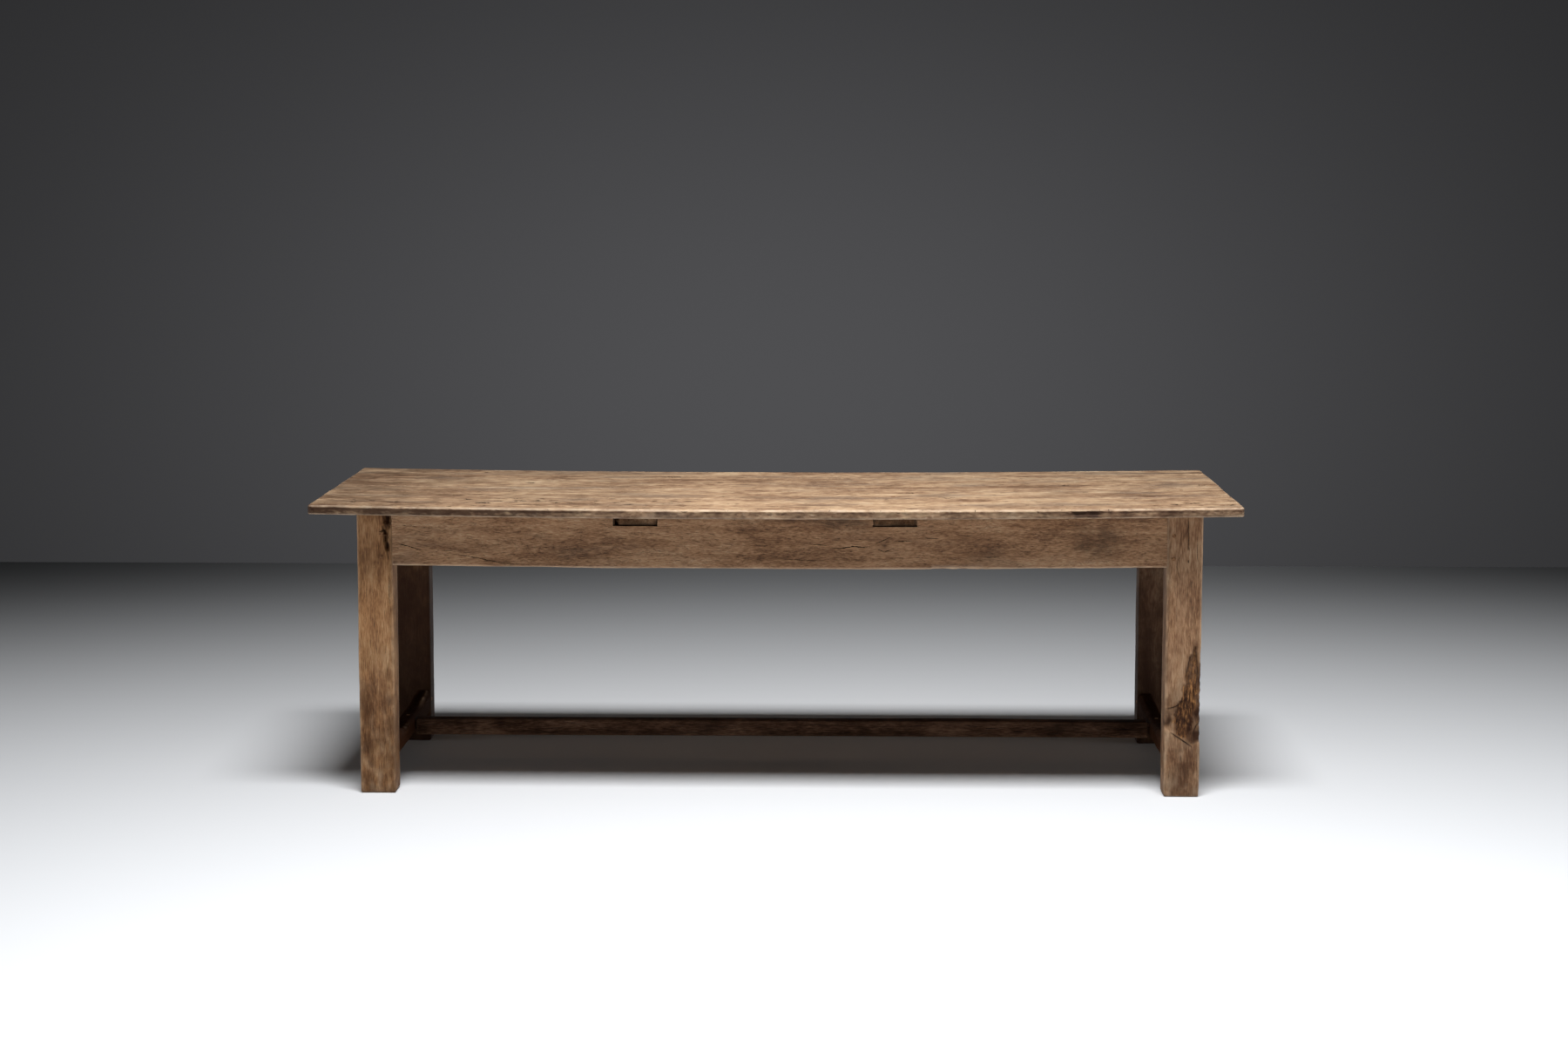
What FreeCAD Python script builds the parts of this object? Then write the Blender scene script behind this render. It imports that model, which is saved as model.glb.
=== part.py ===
import FreeCAD, Part
import math
import os

# An old oak refectory table: four sagging top boards on four square legs, tenoned aprons, two cross
# bearers let into notches of the long aprons, and a low H of stretchers.
# Millimetres. X runs along the length to the right, Y to the back and Z up. The origin is on the
# floor under the middle of the top.

# The top
TOP_LENGTH = 2336.0
TOP_HEIGHT = 750.0
TOP_THICKNESS = 24.0
TOP_SAG = 10.0
BOARD_FRONT_WIDTH = 200.0
BOARD_SECOND_WIDTH = 178.0
BOARD_THIRD_WIDTH = 266.0
BOARD_BACK_WIDTH = 96.0
TOP_CORNER_ROUND = 12.0
TOP_ARRIS_ROUND = 5.0
SEAM_EASE = 1.2

# The overhang of the top past the legs; it is longer on the left
OVERHANG_LEFT = 112.0
OVERHANG_RIGHT = 94.0
OVERHANG_SIDE = 58.0

# Legs
LEG_WIDTH = 88.0
LEG_DEPTH = 65.0
LEG_ARRIS_ROUND = 4.0
FOOT_ROUND = 5.0

# Aprons, the boards on edge between the legs
APRON_HEIGHT = 135.0
APRON_THICKNESS = 30.0
APRON_SETBACK = 3.0
APRON_ARRIS_ROUND = 2.5
APRON_TENON_THICKNESS = 14.0
APRON_TENON_BACKING = 28.0
APRON_TENON_FOOT = 8.0
APRON_TENON_HEAD = 27.0

# Cross bearers under the boards; their ends lie in notches of the long aprons
BEARER_WIDTH = 108.0
BEARER_THICKNESS = 26.0
BEARER_RECESS = 7.0
BEARER_LEFT_FROM_MIDDLE = 361.0
BEARER_RIGHT_FROM_MIDDLE = 293.0
NOTCH_SIDE_GAP = 2.0
NOTCH_FLOOR_GAP = 3.0

# Stretchers, the low bars near the floor
END_STRETCHER_HEIGHT = 57.0
END_STRETCHER_THICKNESS = 40.0
END_STRETCHER_LIFT = 87.0
END_STRETCHER_WEAR = 14.0
END_STRETCHER_BEVEL = 16.0
END_TENON_THICKNESS = 16.0
END_TENON_EDGE = 9.0
END_TENON_BACKING = 23.0
CENTRE_STRETCHER_HEIGHT = 44.0
CENTRE_STRETCHER_THICKNESS = 40.0
CENTRE_STRETCHER_DROP = 6.0
CENTRE_SHOULDER_GAP = 4.5
CENTRE_ARRIS_ROUND = 5.0
CENTRE_TENON_THICKNESS = 16.0
CENTRE_TENON_EDGE = 8.0
CENTRE_TENON_BACKING = 10.0

# Wooden pegs and dowels
APRON_PEG = 10.0
APRON_PEG_LENGTH = 42.0
PEG_ABOVE_TENON_FOOT = 14.0
PEG_BELOW_TENON_HEAD = 27.0
PEG_INSET_LEFT = 26.0
PEG_INSET_RIGHT = 15.0
END_PEG_INSET = 15.0
PEG_PROUD = 0.8
STRETCHER_PEG = 9.0
TOP_PEG = 11.0
TOP_PEG_BITE = 20.0
TOP_PEG_EDGE = 45.0
TOP_PEG_FROM_LEG = 195.0
TOP_PEG_APRON_COUNT = 3
SEAM_DOWEL = 9.0
SEAM_DOWEL_LENGTH = 56.0
SEAM_DOWEL_COUNT = 6

# Decayed hollows on the front legs
CAVITY_RADIUS = 10.0
CAVITY_HEIGHT = 96.0
CAVITY_BELOW_TOP = 82.0
ROT_RADIUS = 30.0
ROT_HEIGHT = 340.0
ROT_FROM_FLOOR = 272.0
ROT_FROM_OUTER_EDGE = 32.0
ROT_OUTSIDE_FACE = 18.0

# Clearances
PEG_CLEARANCE = 0.1
MORTISE_END_GAP = 1.5
TENON_APART = 4.0

# Sizes that follow from the ones above
BOARD_WIDTHS = (BOARD_FRONT_WIDTH, BOARD_SECOND_WIDTH, BOARD_THIRD_WIDTH, BOARD_BACK_WIDTH)
BOARD_NODES = ("top_board_front", "top_board_second", "top_board_third", "top_board_back")
SEAM_NODES = ("seam_dowels_front", "seam_dowels_middle", "seam_dowels_back")
TOP_DEPTH = sum(BOARD_WIDTHS)
TOP_HALF = TOP_LENGTH / 2
BOARD_EDGES = [sum(BOARD_WIDTHS[:count]) - TOP_DEPTH / 2 for count in range(len(BOARD_WIDTHS) + 1)]
SAG_RADIUS = (TOP_HALF ** 2 + TOP_SAG ** 2) / (2 * TOP_SAG)
SAG_CENTRE = TOP_HEIGHT - TOP_SAG + SAG_RADIUS
FRAME_MIDDLE = (OVERHANG_LEFT - OVERHANG_RIGHT) / 2
LEG_OUTER_X = TOP_HALF - (OVERHANG_LEFT + OVERHANG_RIGHT) / 2
LEG_INNER_X = LEG_OUTER_X - LEG_WIDTH
LEG_OUTER_Y = TOP_DEPTH / 2 - OVERHANG_SIDE
LEG_INNER_Y = LEG_OUTER_Y - LEG_DEPTH
APRON_CHEEK = (APRON_THICKNESS - APRON_TENON_THICKNESS) / 2
TENON_FACE = APRON_SETBACK + APRON_CHEEK
LONG_TENON_REACH = LEG_WIDTH - APRON_TENON_BACKING
END_APRON_TENON_REACH = LEG_DEPTH - TENON_FACE - APRON_TENON_THICKNESS - TENON_APART
END_TENON_REACH = LEG_DEPTH - END_TENON_BACKING
CENTRE_TENON_REACH = END_STRETCHER_THICKNESS - CENTRE_TENON_BACKING
BEARER_HALF = LEG_OUTER_Y - APRON_SETBACK - BEARER_RECESS
BEARER_MIDDLES = {
    "left": FRAME_MIDDLE - BEARER_LEFT_FROM_MIDDLE,
    "right": FRAME_MIDDLE + BEARER_RIGHT_FROM_MIDDLE,
}
PEG_INSETS = {"left": PEG_INSET_LEFT, "right": PEG_INSET_RIGHT}
END_STRETCHER_TOP = END_STRETCHER_LIFT + END_STRETCHER_HEIGHT
END_WORN_TOP = END_STRETCHER_TOP - END_STRETCHER_WEAR
CENTRE_BOTTOM = END_STRETCHER_LIFT - CENTRE_STRETCHER_DROP
CENTRE_TOP = CENTRE_BOTTOM + CENTRE_STRETCHER_HEIGHT
SIDES = {"left": -1, "right": 1}
ENDS = {"front": -1, "back": 1}
V = FreeCAD.Vector
ALONG_X = V(1, 0, 0)
ALONG_Y = V(0, 1, 0)
ALONG_Z = V(0, 0, 1)
TINY = 0.01


# Shared shapes
def box(xs, ys, zs):
    """A block between two values on each axis, given in either order."""
    low = V(min(xs), min(ys), min(zs))
    return Part.makeBox(max(xs) - low.x, max(ys) - low.y, max(zs) - low.z, low)


def level(x, below):
    """Height of the sagging arc that runs a given distance below the upper face of the top."""
    return SAG_CENTRE - math.sqrt((SAG_RADIUS + below) ** 2 - x ** 2)


def bent_bar(xs, ys, belows):
    """A bar that follows the sag of the top, between two distances below its upper face."""
    middle = sum(xs) / 2

    def at(x, below):
        return V(x, ys[0], level(x, below))

    upper, lower = belows
    over = Part.Arc(at(xs[0], upper), at(middle, upper), at(xs[1], upper)).toShape()
    right = Part.makeLine(at(xs[1], upper), at(xs[1], lower))
    under = Part.Arc(at(xs[1], lower), at(middle, lower), at(xs[0], lower)).toShape()
    left = Part.makeLine(at(xs[0], lower), at(xs[0], upper))
    outline = Part.Face(Part.Wire([over, right, under, left]))
    return outline.extrude(V(0, ys[1] - ys[0], 0))


def edges_at(shape, **places):
    """Edges whose bounding values, such as YMin or ZLength, are the given ones."""
    return [
        edge for edge in shape.Edges
        if all(near(getattr(edge.BoundBox, name), value) for name, value in places.items())
    ]


def near(value, target):
    return abs(value - target) < TINY


def rod(start, direction, length, width):
    return Part.makeCylinder(width / 2, length, start, direction)


def bored(shape, holes):
    """Cut a list of holes or pockets out of a piece."""
    return shape.cut(holes).removeSplitter()


def spindle(x, y, z, radius, height):
    """A pointed round hollow along a vertical line, widest half way up."""
    foot = V(x, y, z - height / 2)
    head = V(x, y, z + height / 2)
    curve = Part.Arc(foot, V(x + radius, y, z), head).toShape()
    half = Part.Face(Part.Wire([curve, Part.makeLine(head, foot)]))
    return half.revolve(foot, ALONG_Z, 360)


def save(node, solids):
    """Write one node; a list of several solids stays a group."""
    shape = solids[0] if len(solids) == 1 else Part.makeCompound(solids)
    shape.exportStep("parts/" + node + ".step")
    print(node, len(solids), "solid", round(shape.Volume / 1000), "cm3", shape.isValid())


# Places of the frame; side is -1 on the left and 1 on the right, end is -1 in front and 1 behind
def frame_x(side, distance):
    return FRAME_MIDDLE + side * distance


APRON_FOOT = level(frame_x(1, LEG_INNER_X), TOP_THICKNESS + APRON_HEIGHT)
TENON_FOOT = APRON_FOOT + APRON_TENON_FOOT
TENON_HEAD = APRON_FOOT + APRON_HEIGHT - APRON_TENON_HEAD
PEG_HEIGHTS = (TENON_FOOT + PEG_ABOVE_TENON_FOOT, TENON_HEAD - PEG_BELOW_TENON_HEAD)


def long_tenon(side, end, extra):
    """Tenon of a long apron inside a leg; extra lengthens it into its mortise."""
    face = LEG_OUTER_Y - TENON_FACE
    return box(
        (frame_x(side, LEG_INNER_X), frame_x(side, LEG_INNER_X + LONG_TENON_REACH + extra)),
        (end * face, end * (face - APRON_TENON_THICKNESS)),
        (TENON_FOOT, TENON_HEAD),
    )


def end_apron_tenon(side, end, extra):
    face = LEG_OUTER_X - TENON_FACE
    return box(
        (frame_x(side, face), frame_x(side, face - APRON_TENON_THICKNESS)),
        (end * LEG_INNER_Y, end * (LEG_INNER_Y + END_APRON_TENON_REACH + extra)),
        (TENON_FOOT, TENON_HEAD),
    )


def end_stretcher_tenon(side, end, extra):
    cheek = LEG_INNER_X + (END_STRETCHER_THICKNESS - END_TENON_THICKNESS) / 2
    return box(
        (frame_x(side, cheek), frame_x(side, cheek + END_TENON_THICKNESS)),
        (end * LEG_INNER_Y, end * (LEG_INNER_Y + END_TENON_REACH + extra)),
        (END_STRETCHER_LIFT + END_TENON_EDGE, END_STRETCHER_TOP - END_TENON_EDGE),
    )


def centre_tenon(side, extra):
    shoulder = LEG_INNER_X - CENTRE_SHOULDER_GAP
    tip = LEG_INNER_X + CENTRE_TENON_REACH + extra
    return box(
        (frame_x(side, shoulder), frame_x(side, tip)),
        (-CENTRE_TENON_THICKNESS / 2, CENTRE_TENON_THICKNESS / 2),
        (END_STRETCHER_LIFT + CENTRE_TENON_EDGE, CENTRE_TOP - CENTRE_TENON_EDGE),
    )


# Pegs; grow is 0 for the peg itself and the clearance for its hole
def long_apron_pegs(side_name, end, grow):
    side = SIDES[side_name]
    x = frame_x(side, LEG_INNER_X + PEG_INSETS[side_name])
    start = end * (LEG_OUTER_Y + PEG_PROUD)
    length = APRON_PEG_LENGTH + grow
    return [rod(V(x, start, z), ALONG_Y * -end, length, APRON_PEG + 2 * grow) for z in PEG_HEIGHTS]


def end_apron_pegs(side, end, grow):
    y = end * (LEG_INNER_Y + END_PEG_INSET)
    start = frame_x(side, LEG_OUTER_X + PEG_PROUD)
    length = APRON_PEG_LENGTH + grow
    return [rod(V(start, y, z), ALONG_X * -side, length, APRON_PEG + 2 * grow) for z in PEG_HEIGHTS]


def end_stretcher_peg(side, end, grow):
    start = V(
        frame_x(side, LEG_INNER_X - PEG_PROUD),
        end * (LEG_INNER_Y + END_PEG_INSET),
        END_STRETCHER_LIFT + END_STRETCHER_HEIGHT / 2,
    )
    return rod(start, ALONG_X * side, END_STRETCHER_THICKNESS + grow, STRETCHER_PEG + 2 * grow)


def centre_stretcher_peg(side, grow):
    start = V(frame_x(side, LEG_INNER_X + END_STRETCHER_THICKNESS / 2), 0, END_WORN_TOP + PEG_PROUD)
    length = END_WORN_TOP + PEG_PROUD - END_STRETCHER_LIFT - CENTRE_TENON_EDGE / 2
    return rod(start, ALONG_Z * -1, length + grow, STRETCHER_PEG + 2 * grow)


def top_peg(x, y):
    return rod(V(x, y, level(x, 0)), ALONG_Z * -1, TOP_THICKNESS + TOP_PEG_BITE, TOP_PEG)


def top_peg_hole(x, y):
    floor = level(x, TOP_THICKNESS + TOP_PEG_BITE) - PEG_CLEARANCE
    return rod(V(x, y, floor), ALONG_Z, TOP_HEIGHT - floor, TOP_PEG + 2 * PEG_CLEARANCE)


def cross_peg_places(x, half_length):
    """Top pegs along a cross support, near both edges of each board that it carries."""
    rows = []
    for front, back in zip(BOARD_EDGES, BOARD_EDGES[1:]):
        rows += [front + TOP_PEG_EDGE, back - TOP_PEG_EDGE]
    return [(x, y) for y in rows if abs(y) < half_length - TOP_PEG]


def edge_peg_places(end):
    """Top pegs spaced evenly along a long apron."""
    y = end * (LEG_OUTER_Y - APRON_SETBACK - APRON_THICKNESS / 2)
    reach = LEG_INNER_X - TOP_PEG_FROM_LEG
    step = 2 * reach / (TOP_PEG_APRON_COUNT - 1)
    return [(frame_x(-1, reach) + count * step, y) for count in range(TOP_PEG_APRON_COUNT)]


def seam_dowels(y, grow):
    """Dowels lying across one seam of the top."""
    step = TOP_LENGTH / SEAM_DOWEL_COUNT
    length = SEAM_DOWEL_LENGTH + 2 * grow
    rods = []
    for count in range(SEAM_DOWEL_COUNT):
        x = step * (count + 0.5) - TOP_HALF
        start = V(x, y - length / 2, level(x, TOP_THICKNESS / 2))
        rods.append(rod(start, ALONG_Y, length, SEAM_DOWEL + 2 * grow))
    return rods


END_APRON_X = LEG_OUTER_X - APRON_SETBACK - APRON_THICKNESS / 2
TOP_PEG_PLACES = {"top_pegs_" + name: edge_peg_places(end) for name, end in ENDS.items()}
for name, side in SIDES.items():
    apron_x = frame_x(side, END_APRON_X)
    TOP_PEG_PLACES["top_pegs_" + name + "_end"] = cross_peg_places(apron_x, LEG_INNER_Y)
    TOP_PEG_PLACES["top_pegs_" + name + "_bearer"] = cross_peg_places(BEARER_MIDDLES[name], BEARER_HALF)
TOP_PEG_HOLES = [top_peg_hole(x, y) for places in TOP_PEG_PLACES.values() for x, y in places]
ABOVE_FRAME = bent_bar((-TOP_LENGTH, TOP_LENGTH), (-TOP_DEPTH, TOP_DEPTH), (-TOP_HEIGHT, TOP_THICKNESS))


# Pieces
def top_board(front, back):
    board = bent_bar((-TOP_HALF, TOP_HALF), (front, back), (0, TOP_THICKNESS))
    rims = [y for y in (front, back) if near(abs(y), TOP_DEPTH / 2)]
    seams = [y for y in (front, back) if y not in rims]
    for y in rims:
        corners = edges_at(board, YMin=y, YMax=y, XLength=0)
        board = board.makeFillet(TOP_CORNER_ROUND, corners)
    upper_face = max(board.Faces, key=lambda face: face.CenterOfMass.z)
    seam_edges = [edge for y in seams for edge in edges_at(upper_face, YMin=y, YMax=y)]
    rim_edges = [edge for edge in upper_face.Edges if not any(edge.isSame(seam) for seam in seam_edges)]
    board = board.makeFillet(TOP_ARRIS_ROUND, rim_edges)
    for y in seams:
        upper = edges_at(board, YMin=y, YMax=y, ZMax=level(TOP_HALF - TOP_ARRIS_ROUND, 0))
        board = board.makeChamfer(SEAM_EASE, upper)
    return board


def leg(side_name, end_name):
    side = SIDES[side_name]
    end = ENDS[end_name]
    outer_x = frame_x(side, LEG_OUTER_X)
    inner_x = frame_x(side, LEG_INNER_X)
    post = box((outer_x, inner_x), (end * LEG_OUTER_Y, end * LEG_INNER_Y), (0, TOP_HEIGHT))
    post = post.makeFillet(LEG_ARRIS_ROUND, edges_at(post, ZLength=TOP_HEIGHT))
    post = post.makeFillet(FOOT_ROUND, edges_at(post, ZMin=0, ZMax=0))
    cuts = [
        ABOVE_FRAME,
        long_tenon(side, end, MORTISE_END_GAP),
        end_apron_tenon(side, end, MORTISE_END_GAP),
        end_stretcher_tenon(side, end, MORTISE_END_GAP),
        end_stretcher_peg(side, end, PEG_CLEARANCE),
    ]
    cuts += long_apron_pegs(side_name, end, PEG_CLEARANCE)
    cuts += end_apron_pegs(side, end, PEG_CLEARANCE)
    if (side_name, end_name) == ("left", "front"):
        z = TOP_HEIGHT - CAVITY_BELOW_TOP
        cuts.append(spindle(inner_x, -LEG_OUTER_Y, z, CAVITY_RADIUS, CAVITY_HEIGHT))
    if (side_name, end_name) == ("right", "front"):
        x = outer_x - ROT_FROM_OUTER_EDGE
        y = -LEG_OUTER_Y - ROT_OUTSIDE_FACE
        cuts.append(spindle(x, y, ROT_FROM_FLOOR, ROT_RADIUS, ROT_HEIGHT))
    return bored(post, cuts)


def long_apron(end):
    face = end * (LEG_OUTER_Y - APRON_SETBACK)
    ys = sorted((face, face - end * APRON_THICKNESS))
    xs = (frame_x(-1, LEG_INNER_X), frame_x(1, LEG_INNER_X))
    board = bent_bar(xs, ys, (TOP_THICKNESS, TOP_THICKNESS + APRON_HEIGHT))
    lower_edge = edges_at(board, YMin=face, YMax=face, XLength=2 * LEG_INNER_X, ZMax=APRON_FOOT)
    board = board.makeFillet(APRON_ARRIS_ROUND, lower_edge)
    board = board.fuse([long_tenon(side, end, 0) for side in SIDES.values()]).removeSplitter()
    cuts = [notch(name, ys) for name in SIDES]
    for name in SIDES:
        cuts += long_apron_pegs(name, end, PEG_CLEARANCE)
    return bored(board, cuts + TOP_PEG_HOLES)


def bearer_floor(side_name):
    return level(BEARER_MIDDLES[side_name], TOP_THICKNESS + BEARER_THICKNESS)


def notch(side_name, ys):
    half = BEARER_WIDTH / 2 + NOTCH_SIDE_GAP
    x = BEARER_MIDDLES[side_name]
    return box((x - half, x + half), ys, (bearer_floor(side_name) - NOTCH_FLOOR_GAP, TOP_HEIGHT))


def bearer(side_name):
    x = BEARER_MIDDLES[side_name]
    half = BEARER_WIDTH / 2
    bar = box((x - half, x + half), (-BEARER_HALF, BEARER_HALF), (bearer_floor(side_name), TOP_HEIGHT))
    return bored(bar, [ABOVE_FRAME] + TOP_PEG_HOLES)


def end_apron(side):
    face = LEG_OUTER_X - APRON_SETBACK
    xs = (frame_x(side, face), frame_x(side, face - APRON_THICKNESS))
    board = box(xs, (-LEG_INNER_Y, LEG_INNER_Y), (APRON_FOOT, TOP_HEIGHT))
    tenons = [end_apron_tenon(side, end, 0) for end in ENDS.values()]
    board = board.fuse(tenons).removeSplitter()
    cuts = [ABOVE_FRAME] + TOP_PEG_HOLES
    for end in ENDS.values():
        cuts += end_apron_pegs(side, end, PEG_CLEARANCE)
    return bored(board, cuts)


def end_stretcher(side):
    inner = frame_x(side, LEG_INNER_X)
    outer = frame_x(side, LEG_INNER_X + END_STRETCHER_THICKNESS)
    head = V(inner, -LEG_INNER_Y, END_STRETCHER_TOP)
    tail = V(inner, LEG_INNER_Y, END_STRETCHER_TOP)
    foot = V(inner, LEG_INNER_Y, END_STRETCHER_LIFT)
    heel = V(inner, -LEG_INNER_Y, END_STRETCHER_LIFT)
    worn = Part.Arc(head, V(inner, 0, END_WORN_TOP), tail).toShape()
    straight = [Part.makeLine(tail, foot), Part.makeLine(foot, heel), Part.makeLine(heel, head)]
    bar = Part.Face(Part.Wire([worn] + straight)).extrude(V(outer - inner, 0, 0))
    bevel = Part.makePolygon([
        V(inner, -LEG_INNER_Y, END_WORN_TOP - END_STRETCHER_BEVEL),
        V(inner, -LEG_INNER_Y, TOP_HEIGHT),
        V(inner + side * END_STRETCHER_BEVEL, -LEG_INNER_Y, TOP_HEIGHT),
        V(inner + side * END_STRETCHER_BEVEL, -LEG_INNER_Y, END_STRETCHER_TOP),
        V(inner, -LEG_INNER_Y, END_WORN_TOP - END_STRETCHER_BEVEL),
    ])
    bar = bar.cut(Part.Face(bevel).extrude(V(0, 2 * LEG_INNER_Y, 0)))
    tenons = [end_stretcher_tenon(side, end, 0) for end in ENDS.values()]
    bar = bar.fuse(tenons).removeSplitter()
    cuts = [centre_tenon(side, MORTISE_END_GAP), centre_stretcher_peg(side, PEG_CLEARANCE)]
    cuts += [end_stretcher_peg(side, end, PEG_CLEARANCE) for end in ENDS.values()]
    return bored(bar, cuts)


def centre_stretcher():
    reach = LEG_INNER_X - CENTRE_SHOULDER_GAP
    half = CENTRE_STRETCHER_THICKNESS / 2
    bar = box((frame_x(-1, reach), frame_x(1, reach)), (-half, half), (CENTRE_BOTTOM, CENTRE_TOP))
    bar = bar.makeFillet(CENTRE_ARRIS_ROUND, edges_at(bar, XLength=2 * reach))
    bar = bar.fuse([centre_tenon(side, 0) for side in SIDES.values()]).removeSplitter()
    return bored(bar, [centre_stretcher_peg(side, PEG_CLEARANCE) for side in SIDES.values()])


os.makedirs("parts", exist_ok=True)

SEAM_YS = BOARD_EDGES[1:-1]
SEAM_HOLES = [hole for y in SEAM_YS for hole in seam_dowels(y, PEG_CLEARANCE)]
for node, front, back in zip(BOARD_NODES, BOARD_EDGES, BOARD_EDGES[1:]):
    save(node, [bored(top_board(front, back), TOP_PEG_HOLES + SEAM_HOLES)])
for node, y in zip(SEAM_NODES, SEAM_YS):
    save(node, seam_dowels(y, 0))
for node, places in TOP_PEG_PLACES.items():
    save(node, [top_peg(x, y) for x, y in places])
for end_name, end in ENDS.items():
    save("apron_" + end_name, [long_apron(end)])
    save("apron_pegs_" + end_name, [peg for name in SIDES for peg in long_apron_pegs(name, end, 0)])
    for side_name in SIDES:
        save("leg_" + end_name + "_" + side_name, [leg(side_name, end_name)])
for side_name, side in SIDES.items():
    save("apron_end_" + side_name, [end_apron(side)])
    end_pegs = [peg for end in ENDS.values() for peg in end_apron_pegs(side, end, 0)]
    save("apron_pegs_end_" + side_name, end_pegs)
    save("stretcher_end_" + side_name, [end_stretcher(side)])
    save("stretcher_pegs_end_" + side_name, [end_stretcher_peg(side, end, 0) for end in ENDS.values()])
    save("bearer_" + side_name, [bearer(side_name)])
save("stretcher_centre", [centre_stretcher()])
save("stretcher_pegs_centre", [centre_stretcher_peg(side, 0) for side in SIDES.values()])
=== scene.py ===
# %% [markdown]
# # An old oak refectory table
# The table stands on four square legs, with aprons under a sagging top of four boards and a low H of
# stretchers. Every timber is a blank of oak that is rounded, worn, split and coloured in code, as age has
# done it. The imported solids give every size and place, so each worn timber takes the place of its solid.

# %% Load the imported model
import math
import random

import bmesh
import bpy
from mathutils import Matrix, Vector, noise


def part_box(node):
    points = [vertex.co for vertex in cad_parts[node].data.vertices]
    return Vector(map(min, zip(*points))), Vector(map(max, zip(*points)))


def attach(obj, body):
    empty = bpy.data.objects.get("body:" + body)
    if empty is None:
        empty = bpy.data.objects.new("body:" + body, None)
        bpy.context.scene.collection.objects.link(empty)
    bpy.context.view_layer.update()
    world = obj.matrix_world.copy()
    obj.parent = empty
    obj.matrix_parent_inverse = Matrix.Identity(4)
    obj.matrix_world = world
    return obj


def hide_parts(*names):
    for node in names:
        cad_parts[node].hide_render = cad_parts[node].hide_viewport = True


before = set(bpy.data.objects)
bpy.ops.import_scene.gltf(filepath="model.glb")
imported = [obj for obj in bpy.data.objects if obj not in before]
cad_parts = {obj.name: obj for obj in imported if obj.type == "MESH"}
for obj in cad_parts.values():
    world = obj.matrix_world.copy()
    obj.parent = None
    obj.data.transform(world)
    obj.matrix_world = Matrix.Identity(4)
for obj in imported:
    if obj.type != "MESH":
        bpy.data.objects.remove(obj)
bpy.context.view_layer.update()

# %% [markdown]
# ## Camera
# A lens is best found by matching known corners of the object with the picture. The camera stands six
# metres in front of the table, a little to the right, at eye height, and looks slightly down. The shift
# moves the frame without tilting the camera, so that the legs stay upright.

# %% Camera
lens = bpy.data.cameras.new("camera")
lens.lens = 55.88
lens.sensor_width = 36.0
lens.shift_y = -0.08
camera = bpy.data.objects.new("camera", lens)
camera.location = (0.146, -6.368, 1.6155)
CAMERA_DIP = 0.0985
CAMERA_TURN = 0.0203
camera.rotation_euler = (math.pi / 2 - CAMERA_DIP, 0.0, CAMERA_TURN)
bpy.context.scene.collection.objects.link(camera)
bpy.context.scene.camera = camera
bpy.context.scene.view_settings.view_transform = "Standard"
print("lens:", lens.lens, "mm")

# %% [markdown]
# ## Studio
# The table stands on a pale studio floor that ends before a dark grey backdrop. A material or a world is a
# tree of nodes, and a tree is quicker to write with a few helpers: one adds a node and fills its sockets,
# one does arithmetic, and one turns screen colours into the linear numbers that Blender works with.

# %% Shader helpers
def colour(red, green, blue):
    """A colour as it looks on a screen, 0 to 255, in the linear numbers that a shader takes."""
    return [((part / 255 + 0.055) / 1.055) ** 2.4 for part in (red, green, blue)] + [1.0]


def node(tree, kind, sockets, **settings):
    """Adds one shader node, with its settings, and fills or links its sockets by name or number."""
    made = tree.nodes.new("ShaderNode" + kind)
    for name, value in settings.items():
        setattr(made, name, value)
    for place, value in sockets.items():
        if isinstance(value, bpy.types.NodeSocket):
            tree.links.new(value, made.inputs[place])
        else:
            made.inputs[place].default_value = value
    return made


def sums(tree, operation, *values):
    """One step of arithmetic."""
    return node(tree, "Math", dict(enumerate(values)), operation=operation).outputs[0]


# %% [markdown]
# The floor is one flat sheet of matt pale paint. It has to be wide, because its bounce lights the table.

# %% Floor
FLOOR_HALF_WIDTH = 9.0
FLOOR_NEAR = -9.0
FLOOR_FAR = 3.2
bm = bmesh.new()
bmesh.ops.create_grid(bm, x_segments=2, y_segments=2, size=1.0)
bmesh.ops.scale(bm, vec=(FLOOR_HALF_WIDTH, (FLOOR_FAR - FLOOR_NEAR) / 2, 1.0), verts=bm.verts)
bmesh.ops.translate(bm, vec=(0.0, (FLOOR_FAR + FLOOR_NEAR) / 2, 0.0), verts=bm.verts)
floor_mesh = bpy.data.meshes.new("studio_floor")
bm.to_mesh(floor_mesh)
bm.free()
studio_floor = bpy.data.objects.new("studio_floor", floor_mesh)
bpy.context.scene.collection.objects.link(studio_floor)
floor_paint = bpy.data.materials.new("floor_paint")
floor_paint.use_nodes = True
floor_shader = floor_paint.node_tree.nodes["Principled BSDF"]
floor_shader.inputs["Base Color"].default_value = colour(206, 208, 211)
floor_shader.inputs["Roughness"].default_value = 0.8
floor_shader.inputs["Specular IOR Level"].default_value = 0.0
floor_mesh.materials.append(floor_paint)
print("floor:", FLOOR_NEAR, "to", FLOOR_FAR)

# %% [markdown]
# A backdrop could be a wall, but a wall would hide the table when the camera walks round it. So the
# backdrop is only the world's colour as the camera and reflections see it, with a soft glow in the middle,
# while a very weak white light fills the room.

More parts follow.
